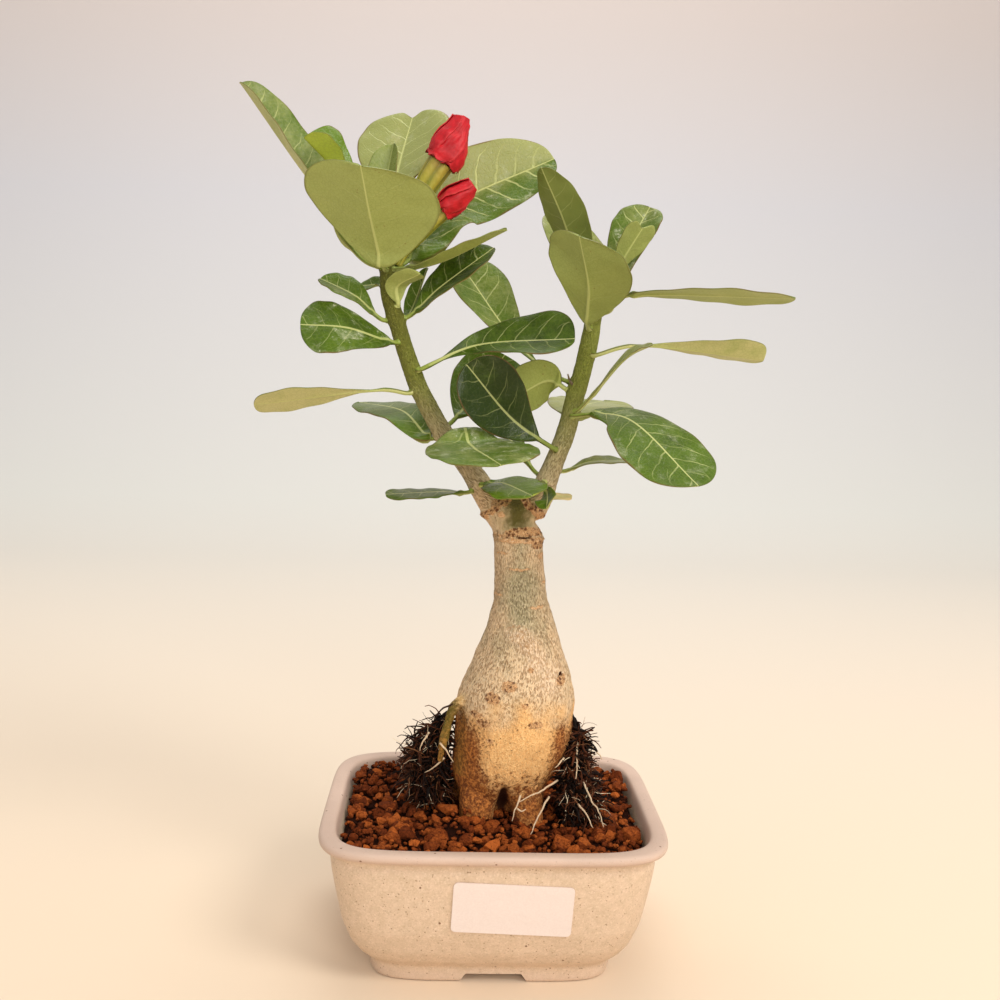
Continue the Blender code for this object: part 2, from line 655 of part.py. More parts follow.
def direction(azimuth, elevation):
    """The unit vector at an azimuth from +X through +Y and an elevation, both in degrees."""
    turn, rise = math.radians(azimuth), math.radians(elevation)
    return Vector((math.cos(rise) * math.cos(turn), math.cos(rise) * math.sin(turn), math.sin(rise)))


def leaf_shares(leaf):
    """Places of the rows along the blade, closer near the tip. Bigger blades have more rows."""
    count = 3 + round(leaf.width / 8)
    return [math.sin(0.5 * math.pi * LEAF_LAST_ROW * row / count) for row in range(count + 1)]


def leaf_grid(leaf, draw):
    """Rows of points across the blade, from the petiole to the tip."""
    phase = draw.uniform(0, math.tau)
    fold = math.radians(leaf.fold)
    facing = direction(*leaf.facing)
    rows = []
    for share in [-1.0, -0.5] + leaf_shares(leaf):
        t = leaf.start * (1.0 + share) if share < 0 else leaf.start + (1.0 - leaf.start) * share
        here = midrib(leaf, t)
        along = (midrib(leaf, min(t + 0.02, 1.0)) - midrib(leaf, max(t - 0.02, 0.0))).normalized()
        up = (facing - facing.dot(along) * along).normalized()
        side = along.cross(up)
        half = half_width(leaf, share)
        opening = fold * min(1.0, max(share, 0.0) * 4.0)
        row = []
        for column in LEAF_COLUMNS:
            swing = math.sin(phase + LEAF_WAVES * share + 2.0 * column)
            wave = LEAF_WAVE * column * column * swing * max(share, 0.0)
            out = column * half
            back = leaf.notch * math.exp(-((out / NOTCH_REACH) ** 2)) * max(share, 0.0) ** 8
            lift = abs(out) * math.sin(opening) + wave
            row.append(here + side * out * math.cos(opening) + up * lift - along * back)
        rows.append(row)
    return rows


def make_leaf(name, leaf, draw):
    """One blade and its petiole: a folded sheet, thick along the midrib and thin at the edge."""
    bm = bmesh.new()
    rows = [[bm.verts.new(point) for point in row] for row in leaf_grid(leaf, draw)]
    for near, far in zip(rows, rows[1:]):
        for here in range(len(near) - 1):
            bm.faces.new((near[here], near[here + 1], far[here + 1], far[here]))
    finish = material("leaf_green", (0.12, 0.22, 0.05), 0.45)
    made = add_object(name, bm, finish, smooth_angle=60)
    rib = made.vertex_groups.new(name="rib")
    for index in range(len(made.data.vertices)):
        row, column = divmod(index, len(LEAF_COLUMNS))
        along = row / (len(rows) - 1)
        thick = 1.0 - (1.0 - LEAF_EDGE_SHARE) * along**2
        rib.add([index], thick if LEAF_COLUMNS[column] == 0.0 else LEAF_EDGE_SHARE, "REPLACE")
    made.modifiers.new("flat triangles", "TRIANGULATE")
    sheet = made.modifiers.new("sheet", "SOLIDIFY")
    sheet.thickness = LEAF_RIB_THICKNESS * MM
    sheet.offset = 0.0
    sheet.vertex_group = "rib"
    apply_modifiers(made)


def clear_scene():
    for thing in list(bpy.data.objects):
        bpy.data.objects.remove(thing)


clear_scene()
bonsai = bpy.data.collections.new("desert_rose_bonsai")
bpy.context.scene.collection.children.link(bonsai)

make_pot()
make_label()
make_caudex("caudex")
for mass_name in ROOT_MASSES:
    make_root_mass(mass_name)
make_soil([make_caudex("caudex_hole", GAP)] + [root_mass_body(mass_name, GAP) for mass_name in ROOT_MASSES])
for bud_name in BUDS:
    make_bud(bud_name)
leaf_draw = random.Random(SEED)
for leaf_name, leaf_shape in LEAVES.items():
    make_leaf(leaf_name, leaf_shape, leaf_draw)
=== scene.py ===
"""The looks of a desert rose bonsai in its stoneware pot.

Finer leaves with veins, grown bark, twisted buds, root hairs, lava granules and speckled stoneware
take the place of the plain solids. Sizes are in millimetres, and the pot's front looks along -Y.
"""

import math
import random
from collections import namedtuple
from functools import partial

import bmesh
import bpy
import numpy as np
from mathutils import Matrix, Vector, noise


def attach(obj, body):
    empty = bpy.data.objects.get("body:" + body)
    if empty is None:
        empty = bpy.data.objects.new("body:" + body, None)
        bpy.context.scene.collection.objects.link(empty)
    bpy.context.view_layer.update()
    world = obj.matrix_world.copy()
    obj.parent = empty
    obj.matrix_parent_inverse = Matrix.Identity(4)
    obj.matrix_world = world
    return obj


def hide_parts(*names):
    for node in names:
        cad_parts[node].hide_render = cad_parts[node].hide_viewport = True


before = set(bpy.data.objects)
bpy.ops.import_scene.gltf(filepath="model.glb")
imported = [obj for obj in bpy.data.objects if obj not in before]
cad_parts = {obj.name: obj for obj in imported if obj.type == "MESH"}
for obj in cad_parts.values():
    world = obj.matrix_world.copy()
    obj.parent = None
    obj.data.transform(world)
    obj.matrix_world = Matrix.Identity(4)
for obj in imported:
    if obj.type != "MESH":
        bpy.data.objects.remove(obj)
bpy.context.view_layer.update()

MM = 0.001
# Air between the solids' pieces, kept here too.
GAP = 0.3
SEED = 11

# Pot, as in the solids: half sizes of the rim, and how far the outline lies inside it by height.
POT_HALF_WIDTH = 62.5
POT_HALF_DEPTH = 56.5
POT_HEIGHT = 53.8
POT_SQUARENESS = 6.0
FOOT_HEIGHT = 3.3
POT_OUTSIDE = (
    (27.0, FOOT_HEIGHT), (26.5, 0.0), (19.2, 0.0), (18.4, 0.9), (18.0, 6.0), (14.0, 9.5), (11.0, 14.0),
    (8.0, 22.0), (6.0, 32.0), (4.6, 40.0), (4.0, 45.0), (4.5, 47.6), (3.4, 49.7), (1.0, 50.1),
    (0.0, 51.5), (0.3, 53.1), (1.6, POT_HEIGHT),
)
POT_INSIDE = ((4.8, POT_HEIGHT), (6.2, 52.9), (7.4, 46.0), (10.0, 24.0), (14.0, 12.0), (20.0, 6.5))
NOTCH_BOTTOM_WIDTH = 24.5
NOTCH_TOP_WIDTH = 19.8
NOTCH_X = 1.0
DRAIN_RADIUS = 5.0
DRAIN_X = 17.0
# Sides of its rings, and the angle in degrees from which its edges are shaded sharp.
POT_SIDES = 160
POT_SHARP = 40.0
# How far inside the rim's outline granules can lie.
POT_WALL = 7.2

# Soil surface.
SOIL_TOP = 47.6
SOIL_HEAP = 2.6
SOIL_HEAP_REACH = 30.0
SOIL_BACK = 4.6
SOIL_HEAPS = ((-12.0, -15.0, 9.0, 4.0), (-52.0, 10.0, 14.0, 1.6), (50.0, 14.0, 14.0, 1.2))

# Caudex: (height, middle x, half width), and roots and branches: (x, y, height, radius).
CAUDEX = (
    (50.5, 3.0, 8.0), (53.5, 3.0, 9.5), (57.0, 3.0, 14.6), (62.5, 3.6, 18.2), (69.0, 4.8, 20.4),
    (77.0, 6.8, 21.8), (85.5, 8.0, 22.1), (93.5, 8.2, 22.1), (99.5, 8.6, 20.9), (105.5, 9.0, 18.8),
    (111.5, 9.3, 16.3), (118.0, 9.2, 13.9), (124.5, 9.2, 12.0), (131.5, 8.7, 10.2), (141.0, 8.1, 9.3),
    (151.0, 7.5, 9.2), (154.5, 7.2, 9.1), (158.5, 6.4, 8.4), (161.8, 5.0, 7.6), (165.5, 5.4, 8.8),
    (169.0, 5.6, 6.6), (171.0, 5.8, 2.6),
)
CAUDEX_DEPTH = 0.93
TRUNK_SIDES = 96
ROOT_LEGS = (
    ((-3.6, -5.0, 65.0, 8.4), (-5.2, -8.0, 57.0, 7.2), (-6.2, -9.5, 49.0, 6.4), (-6.8, -10.5, 40.5, 5.2)),
    ((10.4, -7.0, 65.0, 7.8), (12.4, -9.5, 57.0, 6.3), (13.7, -12.0, 49.0, 5.4), (14.8, -13.5, 40.5, 4.4)),
    ((-4.0, 6.0, 65.0, 8.0), (-7.0, 9.0, 57.0, 7.6), (-8.5, 10.5, 49.0, 6.8), (-9.5, 11.0, 40.5, 5.0)),
    ((10.0, 6.0, 65.0, 8.0), (13.0, 9.0, 57.0, 7.2), (14.5, 10.5, 49.0, 6.2), (15.5, 11.0, 40.5, 4.8)),
)
GREEN_ROOT = (
    (-9.5, -6.0, 95.5, 2.4), (-15.0, -8.4, 91.5, 2.1), (-17.4, -10.4, 85.0, 1.7),
    (-19.0, -12.0, 78.5, 1.5), (-20.0, -12.8, 72.0, 0.9),
)
DRY_STUB = ((26.5, 2.0, 211.0, 0.7), (24.6, 0.8, 213.0, 0.5), (23.6, 0.2, 215.6, 0.25))
BRANCHES = {
    "left": (
        (2.5, 0.0, 159.5, 5.4), (-5.6, 0.0, 170.8, 4.7), (-11.3, -0.5, 179.3, 3.9),
        (-22.2, -2.0, 193.4, 3.6), (-29.4, -3.0, 206.2, 3.4), (-33.2, -4.0, 214.5, 3.3),
        (-36.6, -5.0, 224.2, 3.1), (-39.4, -6.0, 233.0, 3.0), (-42.4, -7.0, 242.7, 2.9),
        (-42.9, -8.0, 252.6, 2.5), (-42.9, -8.0, 254.2, 1.0),
    ),
    "right": (
        (7.0, 0.0, 162.5, 4.4), (14.0, 0.0, 168.0, 4.9), (18.5, 1.0, 179.8, 3.8),
        (23.4, 2.0, 192.6, 3.6), (26.6, 3.0, 206.0, 3.5), (29.9, 4.0, 218.9, 3.4),
        (32.3, 5.0, 231.8, 3.2), (33.3, 6.0, 241.8, 2.7), (33.5, 6.2, 243.2, 1.0),
    ),
}

# Root masses: (x, y, height, radius) from the top down.
ROOT_MASSES = {
    "root_mass_left": (
        (-14.6, 2.0, 91.5, 1.0), (-17.4, 2.0, 85.0, 3.0), (-21.2, 2.0, 77.0, 7.0),
        (-23.2, 3.0, 68.5, 10.0), (-22.4, 4.0, 60.5, 9.6), (-21.4, 5.0, 53.5, 9.0),
        (-20.8, 6.0, 46.5, 6.8),
    ),
    "root_mass_right": (
        (28.6, -3.0, 89.5, 1.6), (30.2, -3.5, 83.0, 3.0), (30.6, -4.5, 75.5, 4.6),
        (30.2, -6.0, 67.5, 6.2), (30.6, -8.0, 59.5, 8.6), (31.4, -9.0, 53.5, 9.4),
        (31.4, -9.0, 46.5, 7.6),
    ),
}

# How far the clump of peat inside a mass reaches, as a share of the mass's radius.
ROOT_CORE = 0.62
MASS_SIDES = 64
# Points along each strand, and how much its way turns down at each of them.
FIBRE_STEPS = 6
FIBRE_DROOP = 0.15
# Strands of the masses: how many, thickness and length in mm, where they start as shares of the mass's
# radius, how far they stand out of it, and their tones from black (0) to pale (1). The thin pale ones
# are partly pale rootlets and partly painted glints on wet strands.
RootKind = namedtuple("RootKind", "count thick length depth stand tones")
ROOT_KINDS = (
    RootKind(480, (0.45, 0.95), (3.0, 8.0), (0.55, 0.95), (-0.5, 0.3), (0.0, 0.0, 0.0, 0.1, 0.2)),
    RootKind(620, (0.22, 0.45), (3.5, 9.0), (0.6, 1.0), (-0.3, 0.5), (0.0, 0.0, 0.05, 0.1, 0.2, 0.25, 0.35)),
    RootKind(420, (0.1, 0.2), (3.0, 8.0), (0.75, 1.05), (-0.2, 0.8), (0.0, 0.1, 0.2, 0.3, 0.5, 0.95)),
)

# Buds: (x, y, height, radius) along the green tube, then up the red twist of petals.
BUDS = {
    "bud_large": (
        (
            (-41.0, -4.4, 255.4, 1.2), (-38.4, -3.4, 261.6, 1.6), (-34.6, -3.2, 270.8, 2.6),
            (-31.0, -3.8, 278.8, 3.8), (-28.0, -4.4, 284.1, 4.4), (-24.6, -5.0, 289.2, 4.7),
        ),
        (
            (-24.3, -5.1, 289.6, 5.8), (-23.1, -5.3, 291.4, 6.7), (-22.0, -5.3, 294.6, 6.8),
            (-20.6, -5.5, 298.3, 5.8), (-19.0, -5.7, 301.7, 4.3), (-17.9, -5.9, 305.1, 3.0),
        ),
    ),
    "bud_small": (
        (
            (-38.9, -9.6, 252.0, 1.1), (-36.1, -9.4, 257.4, 1.5), (-31.9, -9.2, 262.9, 2.5),
            (-27.7, -9.6, 267.9, 3.1), (-23.6, -10.0, 272.0, 3.4),
        ),
        (
            (-23.2, -10.1, 272.4, 4.1), (-21.8, -10.4, 273.8, 5.0), (-19.2, -10.8, 276.0, 5.0),
            (-16.0, -11.4, 278.6, 4.0), (-13.2, -12.0, 281.0, 2.7),
        ),
    ),
}
# How many petals, how far each turns on its way up and reaches round the bud in degrees, how far its
# lower edge stands out as a share of the bud's radius, and its thickness.
PETALS = 5
PETAL_TURN = 75.0
PETAL_SPAN = 120.0
PETAL_SKIRT = 0.16
PETAL_THICKNESS = 0.35

# Leaves: where each joins its branch (height, and azimuth from +X through +Y), two points that its
# midrib runs through, the way its upper face looks (azimuth and elevation), its width, how far its
# halves fold up, where the blade starts and is widest along the midrib, and a notch in its tip.
LEAF_FIELDS = "branch height azimuth middle tip facing width fold start peak notch"
Leaf = namedtuple("Leaf", LEAF_FIELDS, defaults=(0,))
LEAF_ROWS = {
    "left": (
        (252, 177, (-73, 5, 284), (-98, 9, 317), (-28, 31), 24, 38, 0.16, 0.65),
        (252, 226, (-60, -4, 282), (-73, -6, 296), (-11, 13), 24, 56, 0.16, 0.78),
        (252, 90, (-42, 17, 284), (-36, 33, 314), (-117, 21), 40, 10, 0.44, 0.66, 3),
        (252, 134, (-45, -2, 275), (-42, 1, 296), (-119, 14), 16, 40, 0.16, 0.64),
        (251, 260, (-47, -27, 264), (-50, -44, 281), (60, 52), 50, 10, 0.12, 0.68),
        (252, 10, (-21, 11, 276), (17, 14, 295), (-105, 15), 34, 24, 0.12, 0.55),
        (251, 323, (-24, -12, 254), (-1, -18, 265), (-175, 71), 16, 19, 0.16, 0.63),
        (233, 357, (-24, -7, 245), (-5, -3, 260), (-129, 36), 18, 21, 0.13, 0.69),
        (238, 310, (-39, -12, 245), (-31, -19, 249), (115, 54), 11, 17, 0.10, 0.68),
        (233, 31, (-34, 3, 238), (-29, 6, 253), (-135, 47), 9, 39, 0.16, 0.66),
        (215, 314, (-10, -6, 225), (24, -18, 228), (-56, 34), 25, 23, 0.14, 0.83),
        (234, 191, (-54, -8, 241), (-67, -5, 247), (-52, 43), 15, 21, 0.18, 0.69),
        (241, 115, (-45, 8, 246), (-55, 14, 246), (-72, 46), 9, 20, 0.16, 0.66),
        (226, 239, (-56, -17, 229.5), (-72, -20, 230), (-31, 30), 25, 0, 0.08, 0.70),
        (209, 208, (-47, -11, 208), (-88, -19, 202), (107, 62), 19, 2, 0.41, 0.84),
        (193, 170, (-37, 7, 200), (-55, 31, 202), (-71, 59), 20, 0, 0.06, 0.59),
        (194, 36, (-11, 9, 206), (1, 18, 222), (-115, 14), 29, 3, 0.15, 0.73),
        (189, 319, (-9, -26, 188), (-2, -46, 185), (-81, 64), 40, 5, 0.12, 0.56),
        (178, 60, (-5, 2, 184), (-4, 4, 190), (-90, 50), 8, 15, 0.16, 0.66),
        (174, 213, (-23, -2, 171), (-42, -7, 170), (-25, 76), 15, 0, 0.16, 0.65),
        (174, 282, (0, -14, 176), (10, -27, 173), (-74, 66), 25, 4, 0.16, 0.69),
    ),
    "right": (
        (212, 155, (6, 18, 226), (-17, 34, 257), (-59, 19), 27, 20, 0.20, 0.84),
        (187, 244, (3, -7, 199), (-14, -15, 218), (-77, 6), 26, 20, 0.22, 0.70),
        (209, 179, (16, 5, 213), (1, 3, 204), (91, 34), 21, 8, 0.20, 0.64),
        (177, 140, (5, 12, 189), (-1, 20, 190), (-49, 59), 15, 0, 0.16, 0.68),
        (175, 257, (16.8, -12, 172), (16, -19, 168), (-104, -21), 10, 30, 0.30, 0.61),
        (171, 318, (19, -8, 171), (26, -8, 171), (-91, 51), 4, 10, 0.16, 0.66),
        (200, 279, (45, -13, 200), (66, -38, 179), (-76, 65), 36, 1, 0.19, 0.72),
        (223, 309, (52, 2, 227), (98, 8, 223), (78, 64), 20, 19, 0.39, 0.85),
        (202, 286, (42, -12, 221), (52, -16, 227), (-177, 45), 11, 15, 0.16, 0.66),
        (199, 68, (32, 24, 203), (42, 42, 205), (-98, 77), 35, 3, 0.16, 0.68),
        (181, 24, (34, 6, 183), (52, 14, 183), (-85, 83), 13, 9, 0.17, 0.71),
        (232, 248, (28, -21, 247), (23, -33, 262), (-18, 73), 38, 8, 0.09, 0.73),
        (240, 166, (22, -3, 266), (11, -9, 288), (40, -10), 20, 16, 0.21, 0.45),
        (240, 99, (35, 14, 252), (17, 25, 277), (-53, -1), 24, 5, 0.16, 0.61),
        (242, 331, (40, -7, 255), (48, -16, 270), (114, 45), 14, 2, 0.21, 0.82, 3),
        (241, 40, (45, 6, 263), (53, 10, 278), (-121, 20), 21, 22, 0.16, 0.68),
        (239, 351, (44, -20, 244), (94, -45, 243), (116, 76), 21, 1, 0.46, 0.69),
    ),
}
LEAVES = {
    f"leaf_{side}_{number:02d}": Leaf(side, *row)
    for side, rows in LEAF_ROWS.items()
    for number, row in enumerate(rows, 1)
}
# Height of the margin's waves and of the finer ripples, radians that the waves run through from base
# to tip, the blade's thickness, how far its margin is rounded, how far the midrib stands out below,
# how wide a tip's notch is, and half the petiole's width.
LEAF_WAVE = 0.5
LEAF_RIPPLE = 0.3
LEAF_WAVES = 9.0
LEAF_THICKNESS = 0.42
LEAF_MARGIN = 0.3
LEAF_RIDGE = 0.7
NOTCH_REACH = 3.0
PETIOLE_HALF_WIDTH = 0.9

# How each leaf differs from the usual green: lightness, youth (yellow-green), dry white marks, how much
# lighter its left half is than its right half, lightness of its underside, and how bold its veins are. Both
# lightnesses are partly the leaf's own colour and partly painted sheen and light, as each leaf catches it,
# and the lighter half is painted light on the half that its fold turns to the light.
Look = namedtuple("Look", "tone youth dust split below veins", defaults=(0.0, 0.0, 0.1, 0.0, 0.3, 0.55))
LOOK_ROWS = {
    "left": {
        1: (0.35, 0, 0.25, 0, 1.25), 2: (-0.1, 0.9, 0, 0, 1, 0.2), 3: (1.2, 0.05, 0.4, 0, 0.3, 0.7),
        4: (0.85, 0.25, 0, 0, 1, 0.2), 5: (0.5, 0, 0, 0, 0.75, 0.45), 6: (0.6, 0, 0.7, -0.55, 0.3, 1),
        7: (0.6, 0.1, 0.1, 0, 0.55, 0.3), 8: (-0.5, 0, 0.15, 0, 0.3, 0.5), 9: (0.2, 0, 0, 0, 0.9, 0.4),
        11: (-0.5, 0, 0.12, 0, 0.6, 0.45), 12: (0.1, 0, 0.2, 0, 0.8, 0.45),
        14: (-0.25, 0, 1, 0, 0.3, 0.35), 15: (0, 0, 0, 0, 1.5, 0.3), 16: (-0.1, 0, 0.1, 0, 0.6, 0.4),
        18: (0.25, 0, 1, 0, 0.6, 0.4), 21: (-0.5, 0.6, 0, 0, 0.3, 0.35),
    },
    "right": {
        1: (0.25, 0, 0.2, 0, 0.3, 0.55), 2: (-1, 0, 0.06, 0, 0.3, 0.22),
        3: (0.1, 0.1, 0, 0, 0.55, 0.4), 6: (2.6, 0, 0, 0, 2.6, 0.2), 7: (-0.15, 0, 0.45, 0, 0.5, 0.6),
        8: (0.3, 0, 0, 0, 1.35, 0.3), 9: (0.8, 0.1, 0, 0, 1.2, 0.5), 10: (0.7, 0, 0.5, 0, 0.8, 0.4),
        11: (0.6, 0, 0.1, 0, 1, 0.4), 12: (0.3, 0, 0, 0, 0.5, 0.4), 13: (0, 0, 0, 0, -0.55, 0.5),
        14: (0.6, 0, 0.7, 0, 0.5, 0.5), 15: (0.2, 0, 0.1, 0, 0.45, 0.4), 16: (0.35, 0, 1, 0, 0.5, 0.9),
        17: (0.3, 0, 0, 0, 0.9, 0.3),
    },
}
LOOKS = {
    f"leaf_{side}_{number:02d}": Look(*row)
    for side, rows in LOOK_ROWS.items()
    for number, row in rows.items()
}

# Camera of the photograph: place in metres, turns in degrees, lens in mm on a 36 mm sensor.
CAMERA_AT = (-0.0179, -0.4473, 0.2173)
CAMERA_DOWN = 6.24
CAMERA_YAW = -2.29
CAMERA_ROLL = 1.67
CAMERA_LENS = 43.63

# Lights, all round ones: (name, place, what it points at, width, power in watts, colour). Lengths
# from here to the end of the backdrop's are in metres.
PLANT_MIDDLE = (0.0, 0.0, 0.15)
LIGHTS = (
    ("key", (0.80, -0.80, 1.05), PLANT_MIDDLE, 0.6, 10.5, (1.0, 0.96, 0.90)),
    ("front", (0.2, -1.15, 0.5), PLANT_MIDDLE, 0.6, 5.0, (1.0, 0.96, 0.91)),
    ("fill", (-0.9, -0.9, 0.55), PLANT_MIDDLE, 0.9, 0.5, (1.0, 0.97, 0.94)),
    ("top", (0.0, 0.35, 1.3), PLANT_MIDDLE, 0.9, 2.5, (1.0, 0.98, 0.96)),
    ("backdrop", (0.0, 0.45, 1.7), (0.0, 1.7, 0.5), 1.0, 13.0, (1.0, 0.98, 0.96)),
)
ROOM_COLOUR = (1.0, 0.98, 0.95, 1.0)
ROOM_STRENGTH = 0.60

# Backdrop: the floor runs back, then curves up into a wall.
SWEEP_FRONT = -1.2
SWEEP_BEND = 0.9
SWEEP_RADIUS = 0.8
SWEEP_TOP = 3.0
SWEEP_HALF_WIDTH = 2.6
SWEEP_STEPS = 32

# Marks on the front of the bark: (x, height, half width, half height, how far its ends bend up, rise
# in mm, paint).
Mark = namedtuple("Mark", "x z wide high bend rise paint")
MARKS = (
    Mark(8.9, 155.5, 3.4, 0.26, 0.5, -0.7, "crack"),
    Mark(9.0, 154.3, 9.6, 1.15, -0.3, 0.5, "scar"),
    Mark(9.5, 157.6, 7.5, 1.5, -0.6, 0.5, "knot"),
    Mark(2.8, 154.4, 3.2, 0.5, 0.3, 0.3, "scar"),
    Mark(14.5, 152.4, 2.6, 1.2, 0.3, 0.2, "knot"),
    Mark(7.6, 143.6, 3.8, 0.5, 0.3, 0.2, "scar"),
    Mark(14.4, 129.6, 3.0, 0.6, 0.2, 0.2, "scar"),
    Mark(-0.6, 133.6, 2.0, 0.5, 0.1, 0.2, "scar"),
    Mark(17.0, 138.6, 1.2, 0.5, 0.2, 0.2, "scar"),
    Mark(1.2, 149.4, 1.8, 0.6, 0.1, 0.2, "scar"),
    Mark(15.4, 148.4, 1.2, 1.2, 0.0, 0.2, "scar"),
    Mark(8.2, 119.4, 4.8, 3.2, 0.0, 0.5, "patch"),
    Mark(11.4, 116.0, 4.4, 4.4, 0.0, 0.2, "patch"),
    Mark(14.6, 110.4, 5.0, 5.4, 0.0, 0.1, "patch"),
    Mark(19.5, 104.4, 5.2, 5.6, 0.0, 0.0, "patch"),
    Mark(4.6, 102.3, 2.6, 1.8, 0.0, 0.2, "knot"),
    Mark(12.4, 108.0, 1.0, 0.8, 0.0, 0.1, "knot"),
    Mark(-1.3, 97.8, 2.4, 2.0, 0.0, 0.2, "knot"),
    Mark(-7.0, 91.0, 2.0, 1.2, 0.0, 0.2, "knot"),
    Mark(-4.4, 88.3, 2.3, 1.5, 0.0, 0.2, "knot"),
    Mark(14.4, 88.4, 2.4, 1.2, 0.0, 0.2, "knot"),
    Mark(23.8, 103.4, 1.6, 1.8, 0.0, -0.2, "knot"),
    Mark(23.9, 105.8, 0.6, 0.6, 0.0, -0.7, "crack"),
    Mark(-1.8, 81.8, 1.2, 0.9, 0.0, 0.1, "knot"),
    Mark(10.5, 95.6, 1.2, 0.9, 0.0, 0.1, "knot"),
    # A deep slit between the front root legs, painted near black as the shade inside it.
    Mark(3.7, 56.4, 2.2, 7.4, 0.0, -3.4, "crack"),
    Mark(0.4, 163.6, 1.4, 1.3, 0.0, 0.5, "scar"),
)
# The arched streaks of the big branch scar on the trunk's front: (x, height).
SCAR_ARCS = (
    ((3.0, 121.2), (5.0, 122.7), (8.0, 123.0), (10.8, 121.6), (13.0, 118.6), (14.4, 115.6)),
    ((3.8, 120.2), (6.0, 121.5), (8.6, 121.2), (10.8, 119.0), (12.6, 115.4)),
    ((4.6, 119.0), (6.6, 120.0), (8.8, 119.2), (10.8, 116.0), (11.6, 113.6)),
    ((4.8, 117.4), (6.6, 118.2), (8.4, 116.8), (9.8, 113.6)),
)
# Rough rings on the bark: (point on the ring, way it faces, radius it reaches, rise in mm).
COLLARS = (
    ((-1.4, 0.0, 166.6), (-0.66, 0.0, 0.75), 8.0, 0.8),
    ((12.0, 0.0, 165.5), (0.62, 0.0, 0.78), 7.0, 0.9),
    ((7.0, 0.0, 155.2), (0.05, 0.0, 1.0), 11.0, 0.3),
)
# Heights between which the bark turns: golden tan below them, and the branches' green above them.
TAN_BELOW = (100.0, 84.0)
GREEN_ABOVE = {"left": (180.0, 216.0), "right": (168.0, 214.0)}
# What the dry stub carries of the bark's tones. The others are 0 on it.
STUB_TONES = {"grey": 1.0, "crack": 0.45}
# Grid on which trunk, roots and branches are melted together.
VOXEL = 0.56
# The bark's grain is measured as if trunk and branches had these radii, so it widens with them, and
# it changes from the trunk's to the branches' between these heights and these places across.
GRAIN_RADII = (12.0, 4.0, 4.0)
GRAIN_HEIGHTS = (158.0, 178.0)
GRAIN_SIDES = (-1.0, 7.0)

# Pale roots that stand out of the dark masses.
PALE_ROOTS = (
    ((24.0, -12.0, 65.5), (17.3, -18.5, 63.5), (12.3, -21.0, 62.0), (9.1, -22.0, 60.5)),
    ((9.6, -20.5, 62.4), (8.9, -22.0, 60.2), (7.8, -23.0, 58.0), (6.8, -24.0, 54.0)),
    ((8.5, -22.0, 58.0), (10.0, -22.5, 57.4), (11.8, -22.0, 57.9)),
    ((31.7, -6.0, 79.5), (31.1, -9.0, 74.9), (31.0, -12.5, 71.5), (30.2, -15.0, 66.9)),
    ((33.5, -13.0, 65.0), (35.9, -17.0, 60.2), (38.8, -20.0, 56.4), (40.5, -22.0, 51.3)),
    ((26.2, -10.0, 73.5), (24.6, -12.0, 72.0), (22.6, -13.0, 70.4)),
    ((20.5, -17.0, 61.0), (16.4, -23.0, 55.7), (13.5, -27.0, 50.4)),
    ((31.2, -17.0, 58.2), (34.3, -21.0, 55.7), (36.3, -24.0, 52.0)),
    ((32.6, -4.0, 76.0), (36.6, -3.4, 76.2), (40.0, -2.0, 72.8), (41.6, -2.0, 70.2)),
    ((-20.2, -13.0, 79.0), (-17.4, -15.0, 76.8), (-15.0, -16.0, 73.0)),
    ((-18.4, -12.0, 73.4), (-21.4, -12.4, 70.2), (-25.4, -10.0, 66.6)),
    ((-24.0, -6.0, 81.0), (-26.7, -8.0, 77.8), (-27.4, -7.0, 74.0)),
)
DARK_ROOTS = (
    ((-13.6, -8.6, 93.2), (-19.2, -10.0, 91.5), (-22.6, -10.0, 88.2), (-27.0, -10.0, 87.0)),
    ((-28.4, -2.0, 76.0), (-32.4, 0.0, 76.8), (-35.6, 0.0, 73.1)),
    ((-28.1, 0.0, 71.2), (-32.1, 0.0, 69.0), (-36.0, 0.0, 69.6)),
    ((-27.4, -2.0, 65.9), (-33.1, -3.0, 63.3), (-38.6, -4.0, 57.0)),
)

# Big stones that show at the front: (x, y, half size).
BIG_STONES = (
    (-16.1, -12.7, 3.6), (-20.1, -27.7, 4.4), (-0.7, -34.9, 4.0), (6.9, -38.8, 3.0),
    (24.3, -29.5, 3.7), (43.6, -6.3, 3.6), (52.0, 28.4, 3.7), (50.6, -24.7, 3.7), (31.0, -34.5, 2.9),
    (12.7, -32.4, 3.3), (43.6, -16.9, 3.0), (-13.2, -35.1, 3.0), (-30.5, -26.1, 3.6),
)
# Granules: (piece, how often its balls are subdivided, how many, half sizes, how far above the
# surface their middles lie as a share of that). Each has so many flat cuts, and its edges are shaded
# sharp from that angle in degrees.
GRANULES = (
    ("soil_coarse", 4, 60, (2.4, 3.4), 0.1),
    ("soil_middle", 3, 450, (1.3, 2.4), 0.25),
    ("soil_fine", 2, 1700, (0.65, 1.3), 0.3),
)
STONE_CUTS = 11
STONE_SHARP = 32.0
# The bed under them: its rings' insets from the rim and heights, then how far its surface's rings
# are drawn in, and how far that lies below the granules' surface.
BED_FLOOR_INSET = 20.3
BED_WALLS = ((14.4, 12.0), (10.4, 24.0), (7.8, 45.0))
BED_SHARES = (0.97, 0.8, 0.6, 0.4, 0.2, 0.03)
BED_BELOW = 0.9
BED_SIDES = 96

LABEL_PAPER = (0.80, 0.69, 0.64)

# Colours of the backdrop by metres along it from below the plant, which hold painted light: warm and bright
# near it, cooler and darker at the back.
BACKDROP_COLOURS = (
    (0.00, (0.80, 0.655, 0.50)),
    (1.15, (0.69, 0.685, 0.645)),
    (1.85, (0.62, 0.61, 0.635)),
    (2.20, (0.65, 0.58, 0.555)),
)


class Painting:
    """The node tree that the helpers below write to. Each new finish sets it."""

    tree = None


